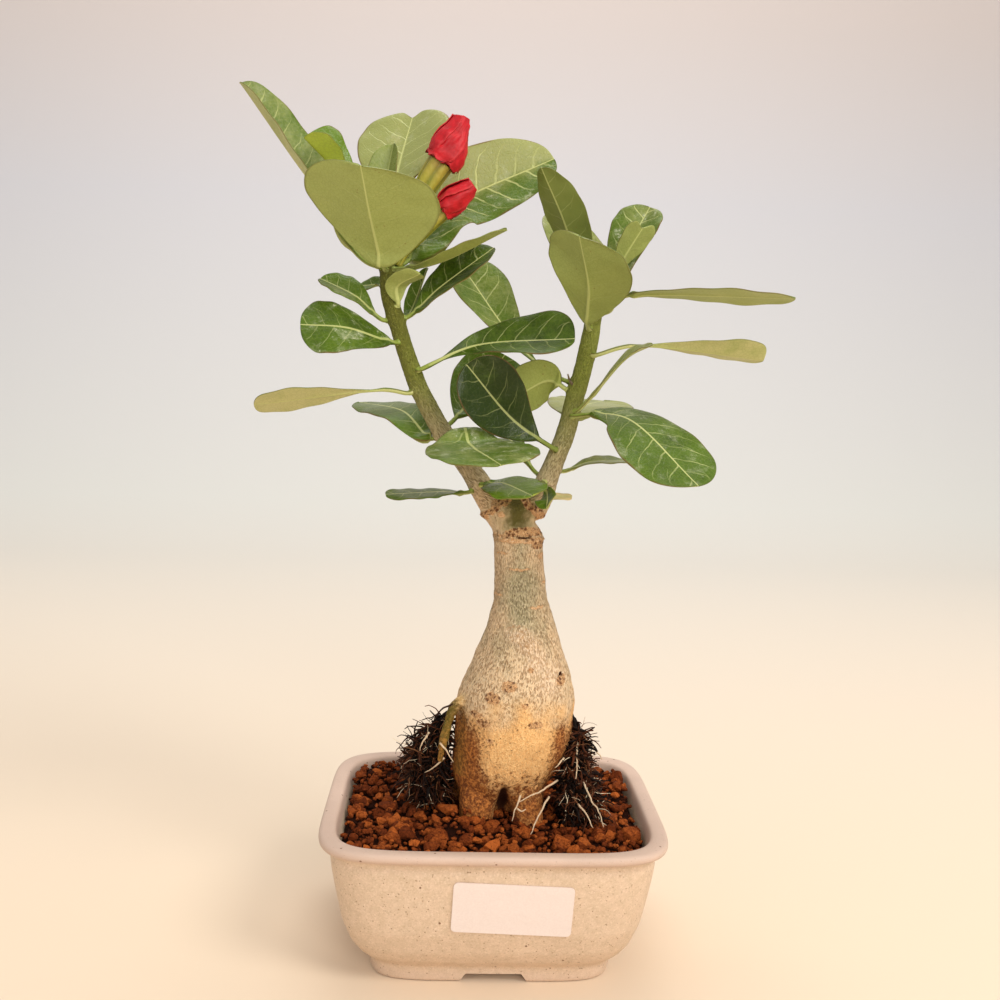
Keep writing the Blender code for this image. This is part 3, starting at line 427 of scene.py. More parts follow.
def add_node(kind, inputs=None, **settings):
    """A shader node with its settings, whose inputs are numbers, colours or other nodes' outputs."""
    made = Painting.tree.nodes.new("ShaderNode" + kind)
    for name, value in settings.items():
        setattr(made, name, value)
    for place, value in (inputs or {}).items():
        if isinstance(value, bpy.types.NodeSocket):
            Painting.tree.links.new(value, made.inputs[place])
        else:
            made.inputs[place].default_value = value
    return made


def maths(operation, first, second=0.0, third=0.0):
    inputs = {0: first, 1: second, 2: third}
    return add_node("Math", inputs, operation=operation).outputs[0]


times = partial(maths, "MULTIPLY")
scaled = partial(maths, "MULTIPLY_ADD")
plus = partial(maths, "ADD")
minus = partial(maths, "SUBTRACT")
larger = partial(maths, "MAXIMUM")


def smooth(value, low, high, to_low=0.0, to_high=1.0):
    """An eased step of a value from low to high."""
    inputs = {0: value, 1: low, 2: high, 3: to_low, 4: to_high}
    made = add_node("MapRange", inputs, interpolation_type="SMOOTHSTEP")
    return made.outputs[0]


def mix(share, low, high):
    """One colour over another. Colours are tuples of three numbers or sockets."""
    low = low if isinstance(low, bpy.types.NodeSocket) else (*low, 1.0)
    high = high if isinstance(high, bpy.types.NodeSocket) else (*high, 1.0)
    inputs = {0: share, 6: low, 7: high}
    return add_node("Mix", inputs, data_type="RGBA", clamp_factor=True).outputs[2]


def attribute(name):
    return add_node("Attribute", attribute_name=name).outputs["Fac"]


def in_mm(scale=(1.0, 1.0, 1.0)):
    """Places in millimetres, stretched by a scale."""
    place = add_node("TexCoord").outputs["Object"]
    scale = tuple(value / MM for value in scale)
    return add_node("VectorMath", {0: place, 1: scale}, operation="MULTIPLY").outputs[0]


def shifted(place, colour, reach):
    """Places moved by a colour's three numbers times a reach."""
    inputs = {0: colour, 1: (reach, reach, reach), 2: place}
    return add_node("VectorMath", inputs, operation="MULTIPLY_ADD").outputs[0]


def noise_of(place, scale, detail=3.0, roughness=0.55):
    inputs = {"Vector": place, "Scale": scale, "Detail": detail, "Roughness": roughness}
    return add_node("TexNoise", inputs).outputs[0]


def cells_of(place, scale, feature="F1"):
    """How far each place is from the middle of its cell, or from the cell's edge."""
    inputs = {"Vector": place, "Scale": scale}
    return add_node("TexVoronoi", inputs, feature=feature).outputs["Distance"]


def finish(name, roughness, shine=0.5):
    """An empty finish that the helpers write to from now on: (material, its shader node)."""
    made = bpy.data.materials.new(name)
    made.use_nodes = True
    Painting.tree = made.node_tree
    shader = made.node_tree.nodes["Principled BSDF"]
    shader.inputs["Roughness"].default_value = roughness
    shader.inputs["Specular IOR Level"].default_value = shine
    return made, shader


def connect(shader, colour, height, depth, roughness=None):
    """Feeds a shader its colour, its roughness and a bump of that depth in millimetres."""
    links = Painting.tree.links
    links.new(colour, shader.inputs["Base Color"])
    if roughness is not None:
        links.new(roughness, shader.inputs["Roughness"])
    bump = add_node("Bump", {"Height": height, "Distance": depth * MM, "Strength": 1.0})
    links.new(bump.outputs[0], shader.inputs["Normal"])


def leaf_veins(place):
    """(vein mask, midrib mask) from what each leaf's mesh carries."""
    across = maths("ABSOLUTE", attribute("leaf_across"))
    side = maths("GREATER_THAN", attribute("leaf_across"), 0.0)
    wander = scaled(noise_of(place, 0.13, 2.0), 0.5, -0.25)
    line = scaled(side, 0.45, attribute("leaf_vein"))
    line = plus(line, wander)
    width = scaled(across, -0.035, 0.066)
    width = times(width, scaled(attribute("leaf_bold"), 0.8, 0.56))
    veins = smooth(maths("DIVIDE", maths("PINGPONG", line, 0.5), width), 0.35, 1.0, 1.0, 0.0)
    veins = times(veins, smooth(across, 0.70, 0.95, 1.0, 0.15))
    veins = times(veins, smooth(noise_of(place, 0.09, 1.0), 0.36, 0.56, 0.35, 1.0))
    forks = plus(line, scaled(across, -0.9, 0.62))
    forks = smooth(maths("PINGPONG", forks, 0.5), 0.008, 0.026, 0.7, 0.0)
    forks = times(forks, smooth(across, 0.30, 0.45))
    forks = times(forks, smooth(across, 0.66, 0.84, 1.0, 0.0))
    forks = times(forks, smooth(noise_of(place, 0.13, 1.0), 0.42, 0.52))
    out = maths("ABSOLUTE", attribute("leaf_out"))
    thin = scaled(attribute("leaf_along"), -0.46, 0.68)
    midrib = smooth(maths("DIVIDE", out, thin), 0.55, 1.25, 1.0, 0.0)
    return times(larger(veins, forks), attribute("leaf_bold")), midrib


def leaf_upper():
    """Dark to light glossy green with pale veins, yellow-green when young, and dry white marks."""
    made, shader = finish("leaf_green", 0.38, 0.22)
    place = in_mm()
    veins, midrib = leaf_veins(place)
    tone = scaled(attribute("leaf_tone"), 0.5, 0.5)
    cloud = scaled(noise_of(place, 0.09), 0.7, -0.35)
    mottle = scaled(noise_of(place, 0.9, 4.0), 0.3, -0.15)
    tone = plus(plus(tone, cloud), mottle)
    colour = mix(smooth(tone, 0.0, 0.5), (0.018, 0.034, 0.003), (0.080, 0.140, 0.010))
    colour = mix(smooth(tone, 0.5, 1.0), colour, (0.31, 0.33, 0.11))
    colour = mix(smooth(tone, 1.1, 1.6), colour, (0.66, 0.53, 0.26))
    colour = mix(attribute("leaf_youth"), colour, (0.13, 0.22, 0.016))
    cells = cells_of(place, 0.55, "DISTANCE_TO_EDGE")
    network = smooth(cells, 0.02, 0.12, 0.18, 0.0)
    shown = times(network, smooth(tone, 0.0, 0.7, 0.1, 0.7))
    colour = mix(shown, colour, (0.32, 0.36, 0.09))
    patches = smooth(noise_of(place, 0.16, 5.0, 0.65), 0.5, 0.72)
    lines = maths("ABSOLUTE", minus(noise_of(place, 0.34, 5.0, 0.6), 0.5))
    lines = times(smooth(lines, 0.004, 0.02, 1.0, 0.0), smooth(patches, 0.05, 0.5))
    dust = times(scaled(patches, 0.6, lines), attribute("leaf_dust"))
    colour = mix(times(dust, 0.7), colour, (0.52, 0.54, 0.36))
    colour = mix(times(veins, 0.9), colour, (0.52, 0.55, 0.22))
    rib_colour = mix(smooth(attribute("leaf_along"), -0.15, 0.3), (0.30, 0.37, 0.07), (0.54, 0.56, 0.22))
    rib = times(midrib, smooth(attribute("leaf_bold"), 0.1, 0.5, 0.45, 0.9))
    colour = mix(rib, colour, rib_colour)
    edge = smooth(maths("ABSOLUTE", attribute("leaf_across")), 0.955, 0.985)
    edge = times(edge, smooth(noise_of(place, 0.1, 1.0), 0.35, 0.6))
    colour = mix(times(edge, 0.75), colour, (0.16, 0.085, 0.03))
    height = scaled(veins, -0.6, times(mottle, 2.0))
    height = scaled(network, -0.8, height)
    rough = scaled(mottle, 0.5, 0.31)
    rough = scaled(dust, 0.25, rough)
    rough = scaled(attribute("leaf_youth"), -0.1, rough)
    connect(shader, colour, height, 0.22, rough)
    return made


def leaf_under():
    """Dull pale olive with a pale midrib, faint veins and brown specks, and a darker margin."""
    made, shader = finish("leaf_green_under", 0.55, 0.3)
    place = in_mm()
    veins, midrib = leaf_veins(place)
    tone = scaled(attribute("leaf_tone"), 0.5, 0.5)
    cloud = scaled(noise_of(place, 0.1), 0.6, -0.3)
    tone = plus(tone, cloud)
    colour = mix(smooth(tone, 0.0, 1.0), (0.155, 0.190, 0.034), (0.33, 0.375, 0.105))
    colour = mix(smooth(tone, 0.95, 1.3), colour, (0.52, 0.51, 0.22))
    colour = mix(attribute("leaf_youth"), colour, (0.41, 0.52, 0.042))
    cells = cells_of(place, 0.7, "DISTANCE_TO_EDGE")
    network = smooth(cells, 0.02, 0.12, 0.2, 0.0)
    colour = mix(network, colour, (0.17, 0.21, 0.035))
    colour = mix(times(veins, 0.5), colour, (0.44, 0.48, 0.17))
    colour = mix(times(midrib, 0.8), colour, (0.52, 0.56, 0.20))
    specks = smooth(cells_of(place, 0.42), 0.05, 0.16, 0.75, 0.0)
    where = smooth(noise_of(place, 0.12), 0.48, 0.66)
    specks = times(specks, where)
    colour = mix(specks, colour, (0.20, 0.11, 0.025))
    edge = smooth(maths("ABSOLUTE", attribute("leaf_across")), 0.95, 0.99, 0.0, 0.6)
    colour = mix(edge, colour, (0.13, 0.12, 0.02))
    height = scaled(veins, 0.7, times(network, -1.0))
    connect(shader, colour, height, 0.15)
    return made


def bark():
    """Grey-tan bark in short upright pits, golden and pored below, olive above with painted shade under the
    leaves, with scars and knots.
    """
    made, shader = finish("bark", 0.68, 0.15)
    place = in_mm()
    fine = noise_of(place, 2.4, 4.0, 0.65)
    cloud = noise_of(place, 0.07, 3.0)
    patchy = noise_of(place, 0.28, 3.0)
    crinkle = noise_of(place, 0.9, 5.0, 0.7)
    grown = add_node("Attribute", attribute_name="bark_grain").outputs["Vector"]
    drift = add_node("TexNoise", {"Vector": grown, "Scale": 0.45, "Detail": 2.0}).outputs["Color"]
    grown = shifted(grown, drift, 0.9)
    upright = add_node("VectorMath", {0: grown, 1: (1.65, 1.65, 0.45)}, operation="MULTIPLY").outputs[0]
    loose = add_node("TexNoise", {"Vector": place, "Scale": 0.9, "Detail": 2.0}).outputs["Color"]
    loose = shifted(place, loose, 1.5)
    tan, green = attribute("bark_tan"), attribute("bark_green")
    grey = attribute("bark_grey")
    streaks = noise_of(upright, 1.95, 1.0, 0.5)
    pits = smooth(cells_of(upright, 1.2), 0.20, 0.52, 1.0, 0.0)
    pits = larger(pits, smooth(streaks, 0.55, 0.65, 0.0, 0.7))
    pits = times(pits, smooth(patchy, 0.30, 0.55, 0.55, 1.0))
    pits = times(pits, minus(1.0, attribute("bark_smooth")))
    ridges = smooth(cells_of(upright, 1.0, "DISTANCE_TO_EDGE"), 0.02, 0.16, 1.0, 0.0)
    light = mix(cloud, (0.71, 0.49, 0.28), (0.92, 0.67, 0.415))
    dull = mix(fine, (0.30, 0.255, 0.14), (0.58, 0.485, 0.285))
    colour = mix(grey, light, dull)
    colour = mix(times(ridges, 0.42), colour, (0.82, 0.67, 0.46))
    pit_colour = mix(grey, (0.30, 0.135, 0.045), (0.16, 0.12, 0.05))
    colour = mix(times(pits, 0.72), colour, pit_colour)
    warm = mix(smooth(fine, 0.35, 0.65), (0.86, 0.44, 0.155), (0.98, 0.65, 0.30))
    warm = mix(times(attribute("bark_rough"), 0.8), warm, (0.66, 0.28, 0.075))
    warm = mix(times(pits, 0.22), warm, (0.42, 0.17, 0.05))
    pores = smooth(cells_of(loose, 0.7), 0.10, 0.28, 0.85, 0.0)
    pores = times(pores, smooth(crinkle, 0.48, 0.58))
    warm = mix(pores, warm, (0.26, 0.085, 0.025))
    colour = mix(tan, colour, warm)
    crust = smooth(scaled(attribute("bark_rough"), 0.42, crinkle), 0.62, 0.84)
    crust_colour = mix(smooth(crinkle, 0.36, 0.6), (0.66, 0.23, 0.048), (0.13, 0.027, 0.007))
    colour = mix(times(crust, 0.9), colour, crust_colour)
    ticks = smooth(cells_of(in_mm((1.3, 1.3, 0.8)), 1.0), 0.10, 0.24, 0.45, 0.0)
    # The branches' olive: lit, and darkened by the painted shade that bark_shade carries.
    bright = mix(fine, (0.175, 0.200, 0.027), (0.32, 0.345, 0.075))
    shaded_olive = mix(fine, (0.060, 0.056, 0.006), (0.13, 0.115, 0.017))
    olive = mix(attribute("bark_shade"), bright, shaded_olive)
    olive = mix(ticks, olive, (0.44, 0.40, 0.17))
    colour = mix(green, colour, olive)
    fan = mix(smooth(streaks, 0.42, 0.58), (0.93, 0.70, 0.49), (0.66, 0.42, 0.24))
    colour = mix(times(attribute("bark_patch"), 0.8), colour, fan)
    scar = scaled(crinkle, 1.5, attribute("bark_scar"))
    scar_colour = mix(smooth(fine, 0.35, 0.65), (0.64, 0.30, 0.10), (0.95, 0.68, 0.42))
    colour = mix(smooth(scar, 1.0, 1.15, 0.0, 0.5), colour, (0.46, 0.24, 0.10))
    colour = mix(smooth(scar, 1.15, 1.4, 0.0, 0.9), colour, scar_colour)
    knot = attribute("bark_knot")
    crusty = smooth(scaled(crinkle, 1.6, knot), 0.9, 1.2)
    crusty = times(crusty, smooth(knot, 0.1, 0.3))
    spots = smooth(cells_of(loose, 0.62), 0.24, 0.50, 1.0, 0.0)
    knot_colour = mix(smooth(fine, 0.35, 0.65), (0.46, 0.20, 0.07), (0.80, 0.50, 0.26))
    knot_colour = mix(times(spots, 0.95), knot_colour, (0.15, 0.04, 0.012))
    colour = mix(times(crusty, 0.9), colour, knot_colour)
    # Painted shade: cracks and the slit between the root legs are painted near black, as the shadow inside
    # them.
    crack = smooth(scaled(fine, 0.6, attribute("bark_crack")), 0.55, 0.95)
    colour = mix(crack, colour, (0.055, 0.016, 0.006))
    shallow = scaled(tan, 0.7, -1.0)
    height = scaled(pits, shallow, fine)
    height = scaled(ridges, 0.35, height)
    height = scaled(pores, -0.8, height)
    height = scaled(times(crusty, spots), -1.5, height)
    height = scaled(crust, 0.8, height)
    connect(shader, colour, height, 0.4)
    return made


def dark_roots():
    """Near-black peat, brown strands and pale rootlets, some of them painted glints, by the tone that each
    carries.
    """
    made, shader = finish("dark_roots", 0.5, 0.12)
    place = in_mm()
    grain = noise_of(place, 1.1, 4.0, 0.7)
    tone = scaled(grain, 0.3, attribute("root_pale"))
    tone = minus(tone, 0.15)
    colour = mix(smooth(tone, 0.0, 0.3), (0.006, 0.003, 0.002), (0.10, 0.028, 0.010))
    colour = mix(smooth(tone, 0.3, 0.6), colour, (0.36, 0.17, 0.075))
    colour = mix(smooth(tone, 0.6, 0.95), colour, (0.86, 0.70, 0.48))
    connect(shader, colour, grain, 0.3)
    return made


def lava():
    """Rough red-brown granules, each a little lighter or darker, with crumbs and pores, painted shade in the
    gaps between them and painted light towards the front.
    """
    made, shader = finish("lava_granules", 0.9, 0.06)
    place = in_mm()
    grain = noise_of(place, 0.9, 6.0, 0.75)
    crumbs = cells_of(place, 1.4)
    tone = plus(attribute("stone_tone"), scaled(grain, 1.2, -0.6))
    colour = mix(smooth(tone, 0.0, 0.5), (0.022, 0.006, 0.003), (0.175, 0.036, 0.009))
    colour = mix(smooth(tone, 0.4, 1.05), colour, (0.52, 0.13, 0.026))
    pores = smooth(grain, 0.44, 0.34)
    colour = mix(times(pores, 0.7), colour, (0.022, 0.006, 0.003))
    height = scaled(crumbs, -0.45, grain)
    connect(shader, colour, height, 0.9)
    return made


def stoneware():
    """Sandy beige stoneware full of light and dark grit, with brown specks and a smoother pinkish rim."""
    made, shader = finish("speckled_stoneware", 0.5)
    place = in_mm()
    cloud = noise_of(place, 0.06, 4.0)
    patch = noise_of(place, 0.35, 3.0)
    sand = noise_of(place, 1.5, 3.0, 0.75)
    colour = mix(cloud, (0.57, 0.425, 0.29), (0.69, 0.515, 0.36))
    colour = mix(smooth(patch, 0.35, 0.65, 0.0, 0.35), colour, (0.80, 0.60, 0.45))
    height_mm = add_node("SeparateXYZ", {0: place}).outputs[2]
    rim = smooth(height_mm, 47.5, 50.3)
    foot = smooth(height_mm, 6.5, 2.0, 0.0, 0.35)
    body = mix(smooth(sand, 0.54, 0.68, 0.0, 0.40), colour, (0.40, 0.26, 0.16))
    body = mix(smooth(sand, 0.46, 0.34, 0.0, 0.40), body, (0.90, 0.72, 0.58))
    colour = mix(larger(rim, foot), body, mix(cloud, (0.54, 0.39, 0.305), (0.67, 0.49, 0.39)))
    grains = smooth(cells_of(place, 0.75), 0.12, 0.24, 0.75, 0.0)
    chosen = smooth(noise_of(place, 0.6, 2.0), 0.5, 0.56)
    grains = times(grains, chosen)
    grains = times(grains, smooth(rim, 0.0, 1.0, 1.0, 0.35))
    colour = mix(grains, colour, (0.27, 0.15, 0.07))
    large = smooth(cells_of(place, 0.17), 0.05, 0.09, 0.9, 0.0)
    colour = mix(large, colour, (0.17, 0.075, 0.03))
    rough = scaled(sand, 0.25, 0.42)
    connect(shader, colour, minus(sand, grains), 0.16, rough)
    return made


def label_paper():
    made, shader = finish("label_paper", 0.38)
    place = in_mm()
    fibre = noise_of(place, 1.6, 4.0, 0.7)
    colour = mix(smooth(fibre, 0.35, 0.65), (0.77, 0.655, 0.605), LABEL_PAPER)
    connect(shader, colour, noise_of(place, 0.12), 0.3)
    return made


def bud_tube_green():
    """Yellow-green with long ribs, painted shade in the grooves between them, turning browner towards the
    petals.
    """
    made, shader = finish("bud_tube", 0.45)
    fine = noise_of(in_mm((1.4, 1.4, 0.5)), 1.0, 4.0)
    colour = mix(fine, (0.33, 0.30, 0.028), (0.50, 0.44, 0.06))
    colour = mix(attribute("tube_groove_shade"), colour, (0.16, 0.19, 0.018))
    colour = mix(attribute("tube_end"), colour, (0.42, 0.20, 0.06))
    connect(shader, colour, fine, 0.15)
    return made


def petal_red():
    """Bright crimson, deeper in the folds and paler at the rubbed edges."""
    made, shader = finish("bud_petals", 0.45, 0.25)
    place = in_mm()
    streak = maths("SINE", times(attribute("petal_across"), 46.0))
    soft = noise_of(place, 0.30, 2.0)
    fine = noise_of(place, 2.2, 3.0)
    colour = mix(smooth(soft, 0.3, 0.7), (0.38, 0.0065, 0.012), (0.56, 0.012, 0.020))
    edge = attribute("petal_edge")
    colour = mix(times(edge, 0.45), colour, (0.66, 0.055, 0.06))
    height = scaled(streak, 0.10, times(fine, 0.25))
    connect(shader, colour, height, 0.15)
    return made


def backdrop_paint():
    """Pale and matt, with painted light: warm and bright near the plant, cooler and darker at the back."""
    made, shader = finish("pale_floor", 0.9, 0.1)
    reach = BACKDROP_COLOURS[-1][0]
    share = maths("DIVIDE", attribute("run"), reach)
    ramp = add_node("ValToRGB", {0: share})
    stops = ramp.color_ramp.elements
    while len(stops) < len(BACKDROP_COLOURS):
        stops.new(0.5)
    for stop, (run, colour) in zip(stops, BACKDROP_COLOURS):
        stop.position = run / reach
        stop.color = (*colour, 1.0)
    Painting.tree.links.new(ramp.outputs[0], shader.inputs["Base Color"])
    return made


def skin(rings):
    """Points and faces of a closed skin through rings that have the same number of points."""
    sides = len(rings[0])
    here = np.arange(sides)
    there = (here + 1) % sides
    faces = []
    for low in range(0, (len(rings) - 1) * sides, sides):
        high = low + sides
        faces.extend(np.column_stack((low + here, low + there, high + there, high + here)).tolist())
    faces.append(here[::-1].tolist())
    faces.append(((len(rings) - 1) * sides + here).tolist())
    return np.concatenate(rings), faces


def joined(parts):
    """Several skins as one list of points and one of faces."""
    faces = []
    start = 0
    for part_points, part_faces in parts:
        faces.extend([[index + start for index in face] for face in part_faces])
        start += len(part_points)
    return np.concatenate([part_points for part_points, part_faces in parts]), faces


def smooth_path(stations, steps):
    """More stations on a smooth curve through the given ones."""
    known = np.array(stations, dtype=float)
    ends = np.vstack((2 * known[0] - known[1], known, 2 * known[-1] - known[-2]))
    t = (np.arange(steps) / steps)[:, None]
    made = []
    for before, here, there, after in zip(ends, ends[1:], ends[2:], ends[3:]):
        bend = 2 * before - 5 * here + 4 * there - after
        twist = after - before + 3 * (here - there)
        made.append(0.5 * (2 * here + (there - before) * t + bend * t**2 + twist * t**3))
    made.append(known[-1:])
    return np.concatenate(made)


def frames_along(path):
    """(headings, sides, other sides) of a path, turning as little as they can."""
    headings = np.gradient(path, axis=0)
    headings /= np.linalg.norm(headings, axis=1, keepdims=True)
    side = np.cross(headings[0], (0.31, 0.93, 0.17))
    sides = []
    for heading in headings:
        side = side - side.dot(heading) * heading
        side /= np.linalg.norm(side)
        sides.append(side)
    sides = np.array(sides)
    return headings, sides, np.cross(headings, sides)


def ring_round(middle, reach, angles, side, other):
    """Points round a middle, in the plane of two directions."""
    return middle + np.outer(reach * np.cos(angles), side) + np.outer(reach * np.sin(angles), other)


def tube(stations, count, section=None):
    """A closed skin round stations of (x, y, z, radius). Its outline may be other than round."""
    stations = np.asarray(stations, dtype=float)
    _, sides, others = frames_along(stations[:, :3])
    angles = np.linspace(0, math.tau, count, endpoint=False)
    outline = np.ones(count) if section is None else section(angles)
    rings = [
        ring_round(station[:3], station[3] * outline, angles, side, other)
        for station, side, other in zip(stations, sides, others)
    ]
    return skin(rings)


def placed(name, data):
    """A new object in the scene."""
    made = bpy.data.objects.new(name, data)
    bpy.context.scene.collection.objects.link(made)
    return made


def mesh_of(name, points, faces):
    mesh = bpy.data.meshes.new(name)
    mesh.from_pydata(np.asarray(points).tolist(), [], faces)
    return mesh


def evaluated(thing):
    """(mesh, its points) that the modifiers of an object give."""
    graph = bpy.context.evaluated_depsgraph_get()
    mesh = bpy.data.meshes.new_from_object(thing.evaluated_get(graph))
    points = np.empty(len(mesh.vertices) * 3)
    mesh.vertices.foreach_get("co", points)
    return mesh, points.reshape(-1, 3)


def face_outwards(mesh):
    bm = bmesh.new()
    bm.from_mesh(mesh)
    bmesh.ops.recalc_face_normals(bm, faces=bm.faces)
    bm.to_mesh(mesh)
    bm.free()


def add_piece(name, points, faces, finishes, nodes=(), kinds=None):
    """A mesh in millimetres becomes a piece of the part, which may stand for CAD nodes."""
    mesh = mesh_of(name, points * MM, faces)
    for piece_finish in finishes:
        mesh.materials.append(piece_finish)
    if kinds is not None:
        mesh.polygons.foreach_set("material_index", np.asarray(kinds, dtype=np.int32))
    mesh.shade_smooth()
    face_outwards(mesh)
    made = placed(name, mesh)
    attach(made, "root")
    if nodes:
        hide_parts(*nodes)
    return made


def paint(piece, name, values):
    """One number for each point of a piece, for its shader to read."""
    layer = piece.data.attributes.new(name, "FLOAT", "POINT")
    layer.data.foreach_set("value", np.asarray(values, dtype=np.float32))


def paint_places(piece, name, places):
    """Three numbers for each point of a piece."""
    layer = piece.data.attributes.new(name, "FLOAT_VECTOR", "POINT")
    layer.data.foreach_set("vector", np.asarray(places, dtype=np.float32).ravel())


def eased(values, low, high):
    """0 below low, 1 above high and an S-shaped step between them."""
    share = np.clip((np.asarray(values, dtype=float) - low) / (high - low), 0.0, 1.0)
    return share * share * (3.0 - 2.0 * share)


def noise_at(points, scale, seed=0.0):
    """Smooth noise from -1 to 1 at each point."""
    places = np.asarray(points) * scale + seed
    return np.array([noise.noise(Vector(place)) for place in places.tolist()])


def shift_at(points, scale, seeds):
    """A smooth shift of each point, with a seed for each axis."""
    return np.column_stack([noise_at(points, scale, seed) for seed in seeds])


def branch_at(branch, height):
    """(point on the axis, direction, radius) of a branch at one height."""
    stations = BRANCHES[branch]
    for low, high in zip(stations, stations[1:]):
        if low[2] <= height <= high[2]:
            share = (height - low[2]) / (high[2] - low[2])
            start, end = Vector(low[:3]), Vector(high[:3])
            return start.lerp(end, share), (end - start).normalized(), low[3] + (high[3] - low[3]) * share
    raise ValueError("the branch does not reach that height")


def hermite(start, start_slope, end, end_slope, t):
    """The point at t, from 0 to 1, on a curve between two points with known slopes."""
    return (
        (2 * t**3 - 3 * t**2 + 1) * start
        + (t**3 - 2 * t**2 + t) * start_slope
        + (3 * t**2 - 2 * t**3) * end
        + (t**3 - t**2) * end_slope
    )


def direction(azimuth, elevation):
    """The unit vector at an azimuth from +X through +Y and an elevation, both in degrees."""
    turn, rise = math.radians(azimuth), math.radians(elevation)
    return Vector((math.cos(rise) * math.cos(turn), math.cos(rise) * math.sin(turn), math.sin(rise)))


def leaf_foot(leaf):
    """(where a leaf leaves the bark, its way out)."""
    axis, along, radius = branch_at(leaf.branch, leaf.height)
    outward = direction(leaf.azimuth, 0)
    outward = (outward - outward.dot(along) * along).normalized()
    return axis + outward * (radius + GAP), outward


def midrib(leaf, t):
    """The point at t, from 0 at the branch to 1 at the tip. Below 0 it runs into the bark."""
    base, outward = leaf_foot(leaf)
    if t < 0.0:
        return base + outward * t
    middle, tip = Vector(leaf.middle), Vector(leaf.tip)
    through = (tip - base) * 0.5
    if t <= 0.5:
        return hermite(base, outward * (middle - base).length * 0.7, middle, through, 2 * t)
    return hermite(middle, through, tip, (tip - middle) * 1.1, 2 * t - 1)


def half_width(leaf, share):
    """Half the blade's width at a share of its length: narrow at the base, widest at the peak."""
    if share <= 0.0:
        return PETIOLE_HALF_WIDTH
    blunt = 0.42
    slender = blunt * leaf.peak / (1.0 - leaf.peak)
    crest = leaf.peak**slender * (1.0 - leaf.peak) ** blunt
    form = share**slender * (1.0 - share) ** blunt / crest
    return leaf.width / 2 * form


def leaf_columns(count, half, blade):
    """Places from edge to edge: round for the petiole, and close together at a blade's margin."""
    margin = min(0.5, LEAF_MARGIN / half)
    flat = np.concatenate((np.linspace(0.0, 1.0 - margin, count - 1), (1.0 - 0.3 * margin, 1.0)))
    flat_share = np.clip(flat, 0.0, 1.0)
    round_share = np.sin(np.linspace(0.0, math.pi / 2, count + 1))
    share = round_share * (1.0 - blade) + flat_share * blade
    return np.concatenate((-share[:0:-1], share))


def leaf_ring(leaf, share, phase, count, veins, length):
    """(ring of points, attributes) of one section: the upper face from edge to edge, then the lower."""
    sunk = share < -1.0
    t = (share + 1.0) * 10.0 if sunk else leaf.start * (1.0 + share)
    if share >= 0.0:
        t = leaf.start + (1.0 - leaf.start) * share
    here = np.array(midrib(leaf, t))
    step = 0.02
    if t < step:
        along = midrib(leaf, max(t, 0.0) + step) - midrib(leaf, min(t, 0.0) - 0.001)
    else:
        along = midrib(leaf, min(t + step, 1.0)) - midrib(leaf, t - step)
    along = along.normalized()
    facing = direction(*leaf.facing)
    up = (facing - facing.dot(along) * along).normalized()
    side = np.array(along.cross(up))
    up, along = np.array(up), np.array(along)
    rise = max(share, 0.0)
    blade = float(eased(share, 0.0, 0.16))
    half = max(half_width(leaf, share), PETIOLE_HALF_WIDTH * (1.0 - rise) ** 2, 0.12)
    flare = 1.0 + 0.5 * float(eased(-share, 0.8, 1.0))
    half *= flare if share < 0 else 1.0
    column = leaf_columns(count, half, blade)
    out = column * half
    opening = math.radians(leaf.fold) * min(1.0, rise * 4.0)
    bend = np.sqrt(out**2 + 0.64)
    swing = np.sin(phase + LEAF_WAVES * share + 2.0 * column)
    ripple = np.sin(2.3 * phase + 3.1 * LEAF_WAVES * share - 1.7 * column)
    wave = column**2 * rise * (LEAF_WAVE * swing + LEAF_RIPPLE * min(1.0, half / 8.0) * ripple)
    droop = -0.045 * half * blade * column**4
    back = leaf.notch * np.exp(-((out / NOTCH_REACH) ** 2)) * rise**8
    lift = (bend - 0.8) * math.sin(opening) + wave + droop
    middle = here + np.outer(out * math.cos(opening), side) + np.outer(lift, up) - np.outer(back, along)
    lean = np.sin(opening) * out / bend
    normal = np.outer(-lean, side) + np.outer(np.full(len(out), math.cos(opening)), up)
    normal /= np.linalg.norm(normal, axis=1, keepdims=True)
    thick = 0.85 * half * (1.0 - blade) + LEAF_THICKNESS / 2 * blade
    round_off = half * (1.0 - blade) + min(LEAF_MARGIN, half) * blade
    inside = np.clip((np.abs(out) - (half - round_off)) / round_off, 0.0, 1.0)
    body = thick * np.sqrt(1.0 - inside**2)
    rib = np.exp(-((out / (0.45 + 0.5 * (1.0 - rise))) ** 2)) * blade
    above = body - 0.16 * rib * (1.0 - rise)
    below = body + LEAF_RIDGE * rib * (1.0 - 0.85 * rise)
    ring = np.concatenate((middle + normal * above[:, None], (middle - normal * below[:, None])[-2:0:-1]))
    both = np.concatenate((column, column[-2:0:-1]))
    reach = np.concatenate((out, out[-2:0:-1]))
    vein = veins * (share - 0.5 * np.abs(reach) / length) - 0.75 * np.abs(both) ** 7
    carried = np.column_stack((both, np.full(len(both), share), reach, vein))
    return ring, carried


